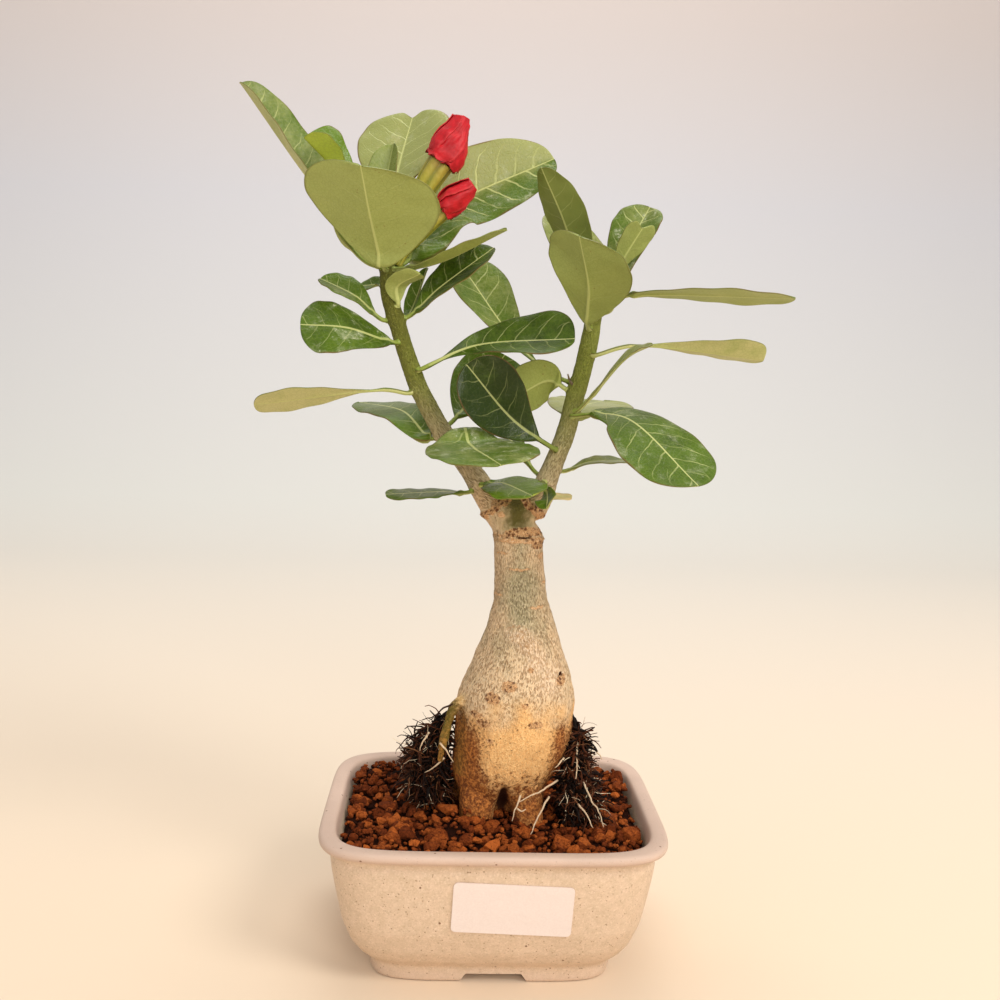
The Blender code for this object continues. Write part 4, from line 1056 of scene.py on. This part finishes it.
def make_leaf(name, leaf, draw, finishes):
    """One blade with its petiole: thin, folded and waved, with a rounded margin and a midrib below."""
    phase = draw.uniform(0, math.tau)
    look = LOOKS.get(name, Look())
    joints = [midrib(leaf, leaf.start + (1 - leaf.start) * step / 12) for step in range(13)]
    length = sum((there - here).length for here, there in zip(joints, joints[1:]))
    count = 5 + round(leaf.width / 3.4)
    rows = 16 + round(length / 1.35)
    veins = min(10, max(5, round(length / 6.3)))
    petiole = np.linspace(-1.0, 0.0, 12)[:-1]
    blade = np.sin(0.5 * math.pi * 0.99 * np.arange(rows + 1) / rows)
    shares = np.concatenate(((-1.1,), petiole, blade))
    made = [leaf_ring(leaf, float(share), phase, count, veins, length) for share in shares]
    points, faces = skin([ring for ring, carried in made])
    around = len(made[0][0])
    upper = 2 * count
    kinds = [0 if index % around < upper else 1 for index in range(len(faces) - 2)] + [0, 0]
    piece = add_piece(name + "_blade", points, faces, finishes, (name,), kinds)
    carried = np.concatenate([row for ring, row in made])
    for layer, title in enumerate(("leaf_across", "leaf_along", "leaf_out", "leaf_vein")):
        paint(piece, title, carried[:, layer])
    # Painted light: one half of the blade lighter than the other, as its fold turns that half to the light.
    above = look.tone + look.split * np.tanh(4.0 * carried[:, 0])
    on_top = np.arange(len(points)) % around <= upper
    paint(piece, "leaf_tone", np.where(on_top, above, look.below))
    for title, value in (("bold", look.veins), ("youth", look.youth), ("dust", look.dust)):
        paint(piece, "leaf_" + title, np.full(len(points), value))


def bottle_rings():
    """The swollen trunk, with the same slow noise as the solid."""
    angles = np.linspace(0, math.tau, TRUNK_SIDES, endpoint=False)
    rings = []
    for height, middle, half in smooth_path(CAUDEX, 5):
        lump = np.array([noise.noise(Vector((math.cos(a), math.sin(a), height / 16.0))) for a in angles])
        reach = half * (1.0 + 0.035 * lump)
        across = middle + reach * np.cos(angles)
        back = CAUDEX_DEPTH * reach * np.sin(angles)
        rings.append(np.column_stack((across, back, np.full(TRUNK_SIDES, height))))
    return rings


def fused(parts):
    """Several overlapping skins melted into one, in millimetres: (points, normals, faces)."""
    thing = placed("melt", mesh_of("melt", *joined(parts)))
    remesh = thing.modifiers.new("melt", "REMESH")
    remesh.mode = "VOXEL"
    remesh.voxel_size = VOXEL
    even = thing.modifiers.new("even", "SMOOTH")
    even.factor = 0.5
    even.iterations = 6
    melted, points = evaluated(thing)
    normals = np.empty(points.size)
    melted.vertex_normals.foreach_get("vector", normals)
    faces = [list(face.vertices) for face in melted.polygons]
    bpy.data.objects.remove(thing)
    return points, normals.reshape(-1, 3), faces


def grain_of(points):
    """Places for the bark's grain: round the trunk or branch at a fixed radius, and up it."""
    x, y, z = points.T
    routes = [np.array([(middle, 0.0, height) for height, middle, half in CAUDEX])]
    routes += [np.array(stations)[:, :3] for stations in BRANCHES.values()]
    made = []
    for route, radius in zip(routes, GRAIN_RADII):
        across = x - np.interp(z, route[:, 2], route[:, 0])
        back = (y - np.interp(z, route[:, 2], route[:, 1])) / CAUDEX_DEPTH
        share = radius / np.maximum(np.hypot(across, back), 0.5)
        made.append(np.column_stack((across * share, back * share, z)))
    right = eased(x, *GRAIN_SIDES)[:, None]
    above = eased(z, *GRAIN_HEIGHTS)[:, None]
    return made[0] * (1.0 - above) + (made[1] * (1.0 - right) + made[2] * right) * above


def mark_bark(points, front, wander, crumbs, rise, painted):
    """Adds marks, scar, rings and leaf cushions to the rise of the bark and to what is painted."""
    x, _, z = points.T
    for mark in MARKS:
        across = (x - mark.x + 0.35 * wander) / mark.wide
        upward = (z - mark.z - mark.bend * across**2 + 0.4 * wander + 0.25 * crumbs) / mark.high
        weight = np.exp(-((across**2 + upward**2) ** 1.5)) * front
        rise += weight * (mark.rise + (0.35 * crumbs if mark.paint == "knot" else 0.0))
        painted[mark.paint] = np.maximum(painted[mark.paint], weight)
    for route in SCAR_ARCS:
        arc = smooth_path(route, 6)
        away = np.min(np.hypot(x[:, None] - arc[:, 0], z[:, None] - arc[:, 1]), axis=1) + 0.25 * wander
        weight = np.exp(-((away / 0.6) ** 2)) * front * (0.5 + 0.5 * eased(crumbs + wander, -0.5, 0.3))
        rise += 0.45 * weight
        painted["patch"] = np.maximum(painted["patch"], weight)
        painted["scar"] = np.maximum(painted["scar"], 0.45 * weight)
    for middle, facing, reach, height in COLLARS:
        offset = points - middle
        along = offset @ np.array(facing) + 1.3 * wander
        near = eased(-np.linalg.norm(offset, axis=1), -reach - 2.0, -reach)
        weight = np.exp(-((along / 1.5) ** 2)) * near
        rise += weight * (height + 0.8 * crumbs)
        painted["knot"] = np.maximum(painted["knot"], weight * min(1.0, height))
    for leaf in LEAVES.values():
        foot, outward = leaf_foot(leaf)
        away = np.linalg.norm(points - np.array(foot - outward * 0.6), axis=1)
        weight = np.exp(-((away / 1.7) ** 2))
        rise += 0.55 * weight


def bark_tones(x, z, points, front, wander, crumbs, on_root):
    """The tones that the shader reads, each from 0 to about 1. x and z are those of the bare skin."""
    left = eased(z, *GREEN_ABOVE["left"]) * (x < 3)
    right = eased(z, *GREEN_ABOVE["right"]) * (x >= 3)
    throat = np.exp(-(np.abs((x - 6.6 + 1.6 * wander + 0.8 * crumbs) / 5.3) ** 3)) * front
    throat *= eased(z + 1.5 * wander + crumbs, 154.5, 161.5) * (1.0 - eased(z, 172.0, 180.0))
    tan = 1.0 - eased(z + 9.0 * noise_at(points, 1 / 7.0, 9.0), TAN_BELOW[1], TAN_BELOW[0])
    patchy = noise_at(points * (1, 1, 0.5), 1 / 5.0, 17.0)
    middle = np.interp(z, [height for height, _, _ in CAUDEX], [place for _, place, _ in CAUDEX])
    grey = np.exp(-((x - middle + 1.2 * wander) / (0.46 * np.interp(z, (110, 150), (19, 12)))) ** 2)
    grey = np.maximum(grey, 1.0 - front) * eased(z, 106.0, 122.0)
    grey *= 1.0 - 0.6 * eased(z + 3.0 * patchy, 138.0, 150.0)
    grey = np.clip(1.15 * grey * eased(z, 101.0, 112.0) + 0.5 * patchy, 0.0, 1.0)
    grey = grey + 0.75 * eased(z, 165.0, 178.0)
    # Dark crust on the trunk's sides and below its bulge: the bark's own crust, and also painted shade on
    # the left side and in the band under the bulge over the root legs.
    sides = (eased(4.0 - x, 3.0, 17.0) + 0.6 * eased(x - 4.0, 13.0, 20.0)) * (1.0 - eased(z, 80.0, 95.0))
    low = 1.0 - eased(z + 5.0 * wander + 4.0 * patchy, 54.0, 76.0)
    rough = np.clip(1.2 * sides + 0.85 * low + 0.3 * patchy + 0.5 * on_root, 0.0, 1.0)
    # Painted shade on the branches where the leaves above shade them: the left branch more towards its top,
    # the right one below 215 mm. The throat and the green root add their darker olive to it.
    shade = np.where(x < 3.0, 0.3 + 0.3 * eased(z, 216.0, 240.0), 0.15 * (1.0 - eased(z, 200.0, 215.0)))
    return {
        "green": np.clip(left + right + 0.8 * on_root + 0.95 * throat, 0.0, 1.0),
        "shade": np.clip(shade + throat + 0.6 * on_root, 0.0, 1.0),
        "tan": tan,
        "grey": np.clip(grey, 0.0, 1.0),
        "rough": rough,
        "smooth": 0.75 * eased(z, 156.0, 158.5) * (1.0 - eased(z, 163.5, 167.0)),
    }


def make_caudex(bark_finish):
    """Trunk, root legs and branches melted together, with knots, scars, rings and leaf cushions."""
    parts = [skin(bottle_rings()), tube(smooth_path(GREEN_ROOT, 4), 16)]
    parts += [tube(smooth_path(leg, 4), 24) for leg in ROOT_LEGS]
    parts += [tube(smooth_path(stations, 4), 32) for stations in BRANCHES.values()]
    points, normals, faces = fused(parts)
    x, y, z = points.T
    front = eased(-y, -2.0, 3.0)
    # How far each point is raised, in mm, and which marks it carries.
    crumbs = noise_at(points, 1 / 0.9, 13.0)
    rise = 0.45 * noise_at(points, 1 / 9.0) + 0.20 * noise_at(points * (1, 1, 0.5), 1 / 1.6, 7.0)
    rise *= 1.0 - 0.6 * eased(z, 165.0, 175.0)
    rise += 0.10 * noise_at(points * (1, 1, 0.35), 1.4, 3.0)
    painted = {title: np.zeros(len(points)) for title in ("scar", "crack", "patch", "knot")}
    wander = noise_at(points, 1 / 2.0, 5.0)
    mark_bark(points, front, wander, crumbs, rise, painted)
    on_root = np.exp(-(((x + 17.5) / 5.0) ** 2) - (((y + 10.5) / 4.0) ** 2)) * (z > 66) * (z < 97)
    rise += 0.6 * on_root * noise_at(points, 1 / 1.4, 23.0)
    points = points + normals * rise[:, None]
    painted.update(bark_tones(x, z, points, front, wander, crumbs, on_root))
    piece = add_piece("caudex_bark", points, faces, [bark_finish], ("caudex",))
    paint_places(piece, "bark_grain", grain_of(points))
    stub_points, stub_faces = tube(smooth_path(DRY_STUB, 4), 10)
    stub = add_piece("dry_stub", stub_points, stub_faces, [bark_finish])
    paint_places(stub, "bark_grain", stub_points)
    for title, values in painted.items():
        paint(piece, "bark_" + title, values)
        paint(stub, "bark_" + title, np.full(len(stub_points), STUB_TONES.get(title, 0.0)))


def fibre(start, heading, length, thick, draw):
    """A thin root that wanders."""
    stations = []
    point = np.array(start, dtype=float)
    heading = np.array(heading, dtype=float)
    for step in range(FIBRE_STEPS):
        stations.append((*point, thick * (1.0 - 0.6 * step / (FIBRE_STEPS - 1))))
        heading += np.array([draw.uniform(-0.4, 0.4) for _ in range(3)]) - (0.0, 0.0, FIBRE_DROOP)
        heading /= np.linalg.norm(heading)
        point = point + heading * length / (FIBRE_STEPS - 1)
        point[2] = max(point[2], SOIL_TOP + 0.8)
    return tube(stations, 4)


def make_root_mass(name, root_finish):
    """A ragged clump of peat under a tangle of thick and fine roots, some of them pale."""
    draw = random.Random(name)
    stations = smooth_path(ROOT_MASSES[name], 6)
    core, faces = tube(stations, MASS_SIDES)
    axis = np.repeat(stations[:, :3], MASS_SIDES, axis=0)
    lump = ROOT_CORE - 1.0 + 0.38 * noise_at(core, 1 / 4.0) + 0.25 * noise_at(core, 1 / 1.5, 4.0)
    lump *= 1.0 + 0.6 * eased(core[:, 2], 76.0, 88.0)
    core += (core - axis) * lump[:, None]
    parts = [(core, faces)]
    pale = [np.zeros(len(core))]
    outward = -1.0 if "left" in name else 1.0
    count = len(stations)
    for kind in ROOT_KINDS:
        for _ in range(kind.count):
            level = int(draw.triangular(count * 0.14, count - 1, count * 0.66))
            x, y, z, radius = stations[level]
            turn = draw.uniform(0, math.tau)
            way = np.array((math.cos(turn), math.sin(turn), draw.uniform(-0.5, 0.6)))
            if way[0] * outward < -0.75:
                way[0] *= -1.0
            way /= np.linalg.norm(way)
            start = np.array((x, y, z)) + way * radius * draw.uniform(*kind.depth)
            heading = way * draw.uniform(*kind.stand) + np.array([draw.uniform(-1.0, 1.0) for _ in range(3)])
            heading /= np.linalg.norm(heading)
            thick = draw.uniform(*kind.thick)
            made = fibre(start, heading, draw.uniform(*kind.length), thick, draw)
            parts.append(made)
            pale.append(np.full(len(made[0]), draw.choice(kind.tones) + draw.uniform(-0.06, 0.06)))
    for route, shade in [(r, 0.8) for r in PALE_ROOTS] + [(r, 0.1) for r in DARK_ROOTS]:
        if route[0][0] * outward < 0:
            continue
        line = smooth_path([(*place, 0.42) for place in route], 6)
        line[:, 3] = np.linspace(0.42, 0.16, len(line))
        line[:, :3] += 0.4 * shift_at(line[:, :3], 0.5, (1.0, 11.0, 21.0))
        made = tube(line, 7)
        parts.append(made)
        pale.append(np.full(len(made[0]), shade))
    points, faces = joined(parts)
    piece = add_piece(name + "_tangle", points, faces, [root_finish], (name,))
    paint(piece, "root_pale", np.concatenate(pale))


def soil_height(x, y):
    """The soil's surface: heaped round the trunk, at the back corners and at a few more places."""
    made = SOIL_TOP + SOIL_HEAP * np.exp(-(x * x + y * y) / SOIL_HEAP_REACH**2)
    made = made + SOIL_BACK * eased(y, 0.0, 38.0) * (0.5 + 0.5 * np.abs(x) / POT_HALF_WIDTH)
    for heap_x, heap_y, reach, height in SOIL_HEAPS:
        made = made + height * np.exp(-((x - heap_x) ** 2 + (y - heap_y) ** 2) / reach**2)
    return made


def pot_ring(inset, height, count):
    """The pot's rounded outline at one height, inset from the rim."""
    angles = np.linspace(0, math.tau, count, endpoint=False)
    across = np.sign(np.cos(angles)) * np.abs(np.cos(angles)) ** (2.0 / POT_SQUARENESS)
    back = np.sign(np.sin(angles)) * np.abs(np.sin(angles)) ** (2.0 / POT_SQUARENESS)
    ring = ((POT_HALF_WIDTH - inset) * across, (POT_HALF_DEPTH - inset) * back, np.full(count, height))
    return np.column_stack(ring)


def inside_pot(x, y, margin):
    """Whether a place keeps that margin from the pot's wall."""
    wall = POT_WALL + margin
    across = abs(x / (POT_HALF_WIDTH - wall)) ** POT_SQUARENESS
    back = abs(y / (POT_HALF_DEPTH - wall)) ** POT_SQUARENESS
    return across + back < 1.0


def stone(ball, centre, size, draw):
    """An angular granule: a ball with flat cuts, then lumps and crumbs."""
    points = ball.copy()
    for _ in range(STONE_CUTS):
        way = np.array([draw.gauss(0, 1) for _ in range(3)])
        way /= np.linalg.norm(way)
        beyond = points @ way - draw.uniform(0.5, 0.9)
        points -= np.outer(np.clip(beyond, 0.0, None) * 0.95, way)
    seed = draw.uniform(0, 50)
    dents = 0.07 * noise_at(points, 1.6, seed) + 0.035 * noise_at(points, 4.7, seed)
    points *= 1.0 + dents[:, None]
    points *= (draw.uniform(0.8, 1.3), draw.uniform(0.8, 1.2), draw.uniform(0.65, 1.0))
    turn = Matrix.Rotation(draw.uniform(0, math.tau), 3, "Z")
    turn = turn @ Matrix.Rotation(draw.uniform(-0.7, 0.7), 3, "X")
    return points @ np.array(turn).T * size + centre


def ball_of(level):
    """(points, faces) of the ball that granules are cut from."""
    bm = bmesh.new()
    bmesh.ops.create_icosphere(bm, subdivisions=level, radius=1.15)
    points = np.array([vert.co[:] for vert in bm.verts])
    faces = [[vert.index for vert in face.verts] for face in bm.faces]
    bm.free()
    return points, faces


def scatter(count, sizes, draw):
    """Seeded (x, y, half size) of granules that keep clear of the pot's wall."""
    while count:
        x = draw.uniform(-POT_HALF_WIDTH, POT_HALF_WIDTH)
        y = draw.uniform(-POT_HALF_DEPTH, POT_HALF_DEPTH)
        size = draw.uniform(*sizes)
        if inside_pot(x, y, 1.1 * size):
            count -= 1
            yield x, y, size


def make_soil(lava_finish):
    """Lava granules heaped on a bed that fills the pot."""
    draw = random.Random(SEED)
    floor = POT_INSIDE[-1][1] + GAP
    walls = ((BED_FLOOR_INSET, floor), *BED_WALLS)
    rings = [pot_ring(inset, height, BED_SIDES) for inset, height in walls]
    for share in BED_SHARES:
        ring = rings[len(BED_WALLS)] * (share, share, 1.0)
        ring[:, 2] = soil_height(ring[:, 0], ring[:, 1]) - BED_BELOW
        rings.append(ring)
    bed = skin(rings)
    for heap, level, count, sizes, lift in GRANULES:
        parts, tones, nodes = [], [], ()
        places = scatter(count, sizes, draw)
        if heap == "soil_coarse":
            parts, tones, nodes = [bed], [np.zeros(len(bed[0]))], ("soil",)
            places = [*BIG_STONES, *places]
        ball_points, ball_faces = ball_of(level)
        for x, y, size in places:
            z = float(soil_height(x, y)) + size * lift + draw.uniform(-1.1, 0.9)
            made = stone(ball_points, (x, y, z), size, draw)
            parts.append((made, ball_faces))
            # Painted shade: points that lie below the soil's surface are darkened, as in the gaps between
            # granules.
            sunk = 1.0 - eased(made[:, 2] - soil_height(made[:, 0], made[:, 1]), -1.8, 1.4)
            # Painted light: granules towards the front are lighter, where more light falls on them.
            tone = draw.triangular(0.05, 1.0, 0.5) + 0.2 * eased(-y, 5.0, 45.0)
            tones.append(tone - 0.75 * sunk)
        points, faces = joined(parts)
        piece = add_piece(heap, points, faces, [lava_finish], nodes)
        piece.data.set_sharp_from_angle(angle=math.radians(STONE_SHARP))
        paint(piece, "stone_tone", np.concatenate(tones))


def rounded_profile(profile, passes):
    """An open outline with its corners cut, so that clay edges look soft."""
    points = np.array(profile, dtype=float)
    for _ in range(passes):
        here, there = points[:-1], points[1:]
        gap = np.linalg.norm(there - here, axis=1, keepdims=True)
        cut = np.minimum(0.25, 0.9 / gap)
        middle = np.stack((here + (there - here) * cut, there - (there - here) * cut), 1).reshape(-1, 2)
        points = np.concatenate((points[:1], middle[1:-1], points[-1:]))
    return points


def solid_object(points, faces):
    """A closed skin in millimetres as an object, to be cut or to cut with."""
    mesh = mesh_of("clay", points, faces)
    face_outwards(mesh)
    return placed("clay", mesh)


def make_pot(pot_finish):
    """The stoneware pot: soft edges, a foot with a notch, and two drainage holes."""
    outline = rounded_profile(POT_OUTSIDE + POT_INSIDE, 3)
    pot = solid_object(*skin([pot_ring(inset, height, POT_SIDES) for inset, height in outline]))
    half_bottom, half_top = NOTCH_BOTTOM_WIDTH / 2, NOTCH_TOP_WIDTH / 2
    profile = ((-half_bottom, -1.0), (half_bottom, -1.0), (half_bottom, 0.0))
    profile += ((half_top, FOOT_HEIGHT), (-half_top, FOOT_HEIGHT), (-half_bottom, 0.0))
    ends = (-POT_HALF_DEPTH, POT_HALF_DEPTH)
    cutters = [skin([np.array([(x + NOTCH_X, y, z) for x, z in profile]) for y in ends])]
    for x in (-DRAIN_X, DRAIN_X):
        cutters.append(tube(((x, 0.0, 0.5, DRAIN_RADIUS), (x, 0.0, 12.0, DRAIN_RADIUS)), 32))
    cutters = [solid_object(*cutter) for cutter in cutters]
    for cutter in cutters:
        cut = pot.modifiers.new("cut", "BOOLEAN")
        cut.operation = "DIFFERENCE"
        cut.object = cutter
    fired, points = evaluated(pot)
    faces = [list(face.vertices) for face in fired.polygons]
    for thing in (pot, *cutters):
        bpy.data.objects.remove(thing)
    piece = add_piece("pot_stoneware", points, faces, [pot_finish], ("pot",))
    piece.data.set_sharp_from_angle(angle=math.radians(POT_SHARP))


def bud_tube(name, stations, tube_finish):
    """A ribbed flower tube that widens towards its petals."""
    path = smooth_path(stations, 8)
    count = 60
    points, faces = tube(path, count, lambda angles: 0.84 + 0.23 * np.abs(np.cos(PETALS / 2 * angles)))
    angles = np.tile(np.linspace(0, math.tau, count, endpoint=False), len(path))
    along = np.repeat(np.linspace(0, 1, len(path)), count)
    points += 0.18 * noise_at(points, 0.5)[:, None]
    piece = add_piece(name + "_tube_skin", points, faces, [tube_finish], (name + "_tube",))
    # Painted shade in the grooves between the ribs.
    paint(piece, "tube_groove_shade", 0.8 * np.abs(np.sin(PETALS / 2 * angles)) ** 6)
    paint(piece, "tube_end", 0.55 * eased(along, 0.7, 1.0) * (0.5 + 0.5 * noise_at(points, 0.4, 3.0)))


def petal_sheet(path, sides, others, headings, turn, draw):
    """(points, faces, across, edge) of one petal that wraps round a closed bud."""
    rows, columns = len(path), 23
    across = np.linspace(0.0, 1.0, columns)
    phase = draw.uniform(0, math.tau)
    sheet = np.empty((rows, columns, 3))
    for row in range(rows):
        v = row / (rows - 1)
        span = math.radians(PETAL_SPAN) * (across - 0.5) * (1.0 - 0.35 * v)
        angle = turn + math.radians(PETAL_TURN) * v + span
        step_out = 0.77 + 0.23 * across + 0.05 * np.sin(5.0 * across + phase + 3.0 * v)
        lobe = np.sin(math.pi * across) ** 2
        skirt = PETAL_SKIRT * (1.0 - eased(v, 0.0, 0.35)) * (lobe - 0.35)
        crumple = 0.07 * np.sin(7.0 * across + 4.0 * v + phase) * math.sin(math.pi * min(1.0, v + 0.15))
        rim = 0.10 * (1.0 - eased(v, 0.0, 0.12))
        reach = path[row, 3] * (step_out + skirt + crumple + rim)
        ring = ring_round(path[row, :3], reach, angle, sides[row], others[row])
        ragged = 0.6 * np.sin(15.0 * across + phase) + 0.3 * np.sin(29.0 * across + 2.0 * phase) - 0.5 * lobe
        ring += np.outer(ragged * (1.0 - eased(v, 0.0, 0.25)), headings[row])
        sheet[row] = ring
    normal = np.cross(np.gradient(sheet, axis=1), np.gradient(sheet, axis=0))
    normal *= PETAL_THICKNESS / 2 / np.linalg.norm(normal, axis=2, keepdims=True)
    points, faces = skin(list(np.concatenate((sheet + normal, (sheet - normal)[:, ::-1]), axis=1)))
    both = np.tile(np.concatenate((across, across[::-1])), rows)
    along = np.repeat(np.linspace(0, 1, rows), 2 * columns)
    edge = np.maximum(eased(both, 0.86, 1.0), 1.0 - eased(along, 0.0, 0.07))
    return points, faces, both, edge


def bud_petals(name, stations, petal_finish):
    """Five overlapping crumpled petals twisted into a closed bud, ragged where they leave the tube."""
    draw = random.Random(name)
    path = smooth_path(stations, 8)
    headings, sides, others = frames_along(path[:, :3])
    core_path = path.copy()
    core_path[:, 3] *= 0.78
    core = tube(core_path, 24)
    parts = [core]
    across = [np.full(len(core[0]), 0.5)]
    edges = [np.zeros(len(core[0]))]
    for petal in range(PETALS):
        turn = math.tau * petal / PETALS + draw.uniform(-0.12, 0.12)
        points, faces, both, edge = petal_sheet(path, sides, others, headings, turn, draw)
        parts.append((points, faces))
        across.append(both)
        edges.append(edge)
    points, faces = joined(parts)
    points += 0.55 * shift_at(points, 0.26, (2.0, 12.0, 22.0))
    points += 0.14 * shift_at(points, 0.9, (5.0, 15.0, 25.0))
    piece = add_piece(name + "_twist", points, faces, [petal_finish], (name + "_petals",))
    paint(piece, "petal_across", np.concatenate(across))
    paint(piece, "petal_edge", np.concatenate(edges))


def make_camera():
    data = bpy.data.cameras.new("camera")
    data.lens = CAMERA_LENS
    data.sensor_width = 36.0
    camera = placed("camera", data)
    turn = Matrix.Rotation(math.radians(CAMERA_YAW), 4, "Z")
    turn = turn @ Matrix.Rotation(math.radians(90.0 - CAMERA_DOWN), 4, "X")
    turn = turn @ Matrix.Rotation(math.radians(CAMERA_ROLL), 4, "Z")
    camera.matrix_world = Matrix.Translation(CAMERA_AT) @ turn
    bpy.context.scene.camera = camera


def make_stage():
    """One sheet: floor, bend and wall."""
    outline = [(y, 0.0) for y in (SWEEP_FRONT, 0.0, SWEEP_BEND / 2, SWEEP_BEND)]
    for step in range(1, SWEEP_STEPS + 1):
        angle = math.pi / 2 * step / SWEEP_STEPS
        outline.append((SWEEP_BEND + SWEEP_RADIUS * math.sin(angle), SWEEP_RADIUS * (1.0 - math.cos(angle))))
    outline.append((SWEEP_BEND + SWEEP_RADIUS, SWEEP_TOP))
    runs = [outline[0][0]]
    for here, there in zip(outline, outline[1:]):
        runs.append(runs[-1] + math.dist(here, there))
    verts = [(x, y, z) for y, z in outline for x in (-SWEEP_HALF_WIDTH, SWEEP_HALF_WIDTH)]
    faces = [(2 * i, 2 * i + 1, 2 * i + 3, 2 * i + 2) for i in range(len(outline) - 1)]
    mesh = mesh_of("backdrop", verts, faces)
    mesh.shade_smooth()
    mesh.materials.append(backdrop_paint())
    backdrop = placed("backdrop", mesh)
    paint(backdrop, "run", np.repeat(runs, 2))


def add_light(name, place, aim, size, power, colour):
    data = bpy.data.lights.new(name, "AREA")
    data.shape = "DISK"
    data.size = size
    data.energy = power
    data.color = colour
    turn = (Vector(aim) - Vector(place)).to_track_quat("-Z", "Y")
    placed(name, data).matrix_world = Matrix.Translation(place) @ turn.to_matrix().to_4x4()


def make_light():
    world = bpy.data.worlds.new("soft_room")
    bpy.context.scene.world = world
    world.use_nodes = True
    background = world.node_tree.nodes["Background"]
    background.inputs["Color"].default_value = ROOM_COLOUR
    background.inputs["Strength"].default_value = ROOM_STRENGTH
    for row in LIGHTS:
        add_light(*row)


bpy.context.scene.view_settings.view_transform = "Standard"
make_camera()
make_stage()
make_light()

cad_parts["label"].material_slots[0].material = label_paper()
make_pot(stoneware())
make_soil(lava())
make_caudex(bark())
root_finish = dark_roots()
for mass_name in ROOT_MASSES:
    make_root_mass(mass_name, root_finish)
tube_finish, petal_finish = bud_tube_green(), petal_red()
for bud_name, (tube_stations, petal_stations) in BUDS.items():
    bud_tube(bud_name, tube_stations, tube_finish)
    bud_petals(bud_name, petal_stations, petal_finish)
leaf_finishes = [leaf_upper(), leaf_under()]
leaf_draw = random.Random(SEED)
for leaf_name, leaf_shape in LEAVES.items():
    make_leaf(leaf_name, leaf_shape, leaf_draw, leaf_finishes)
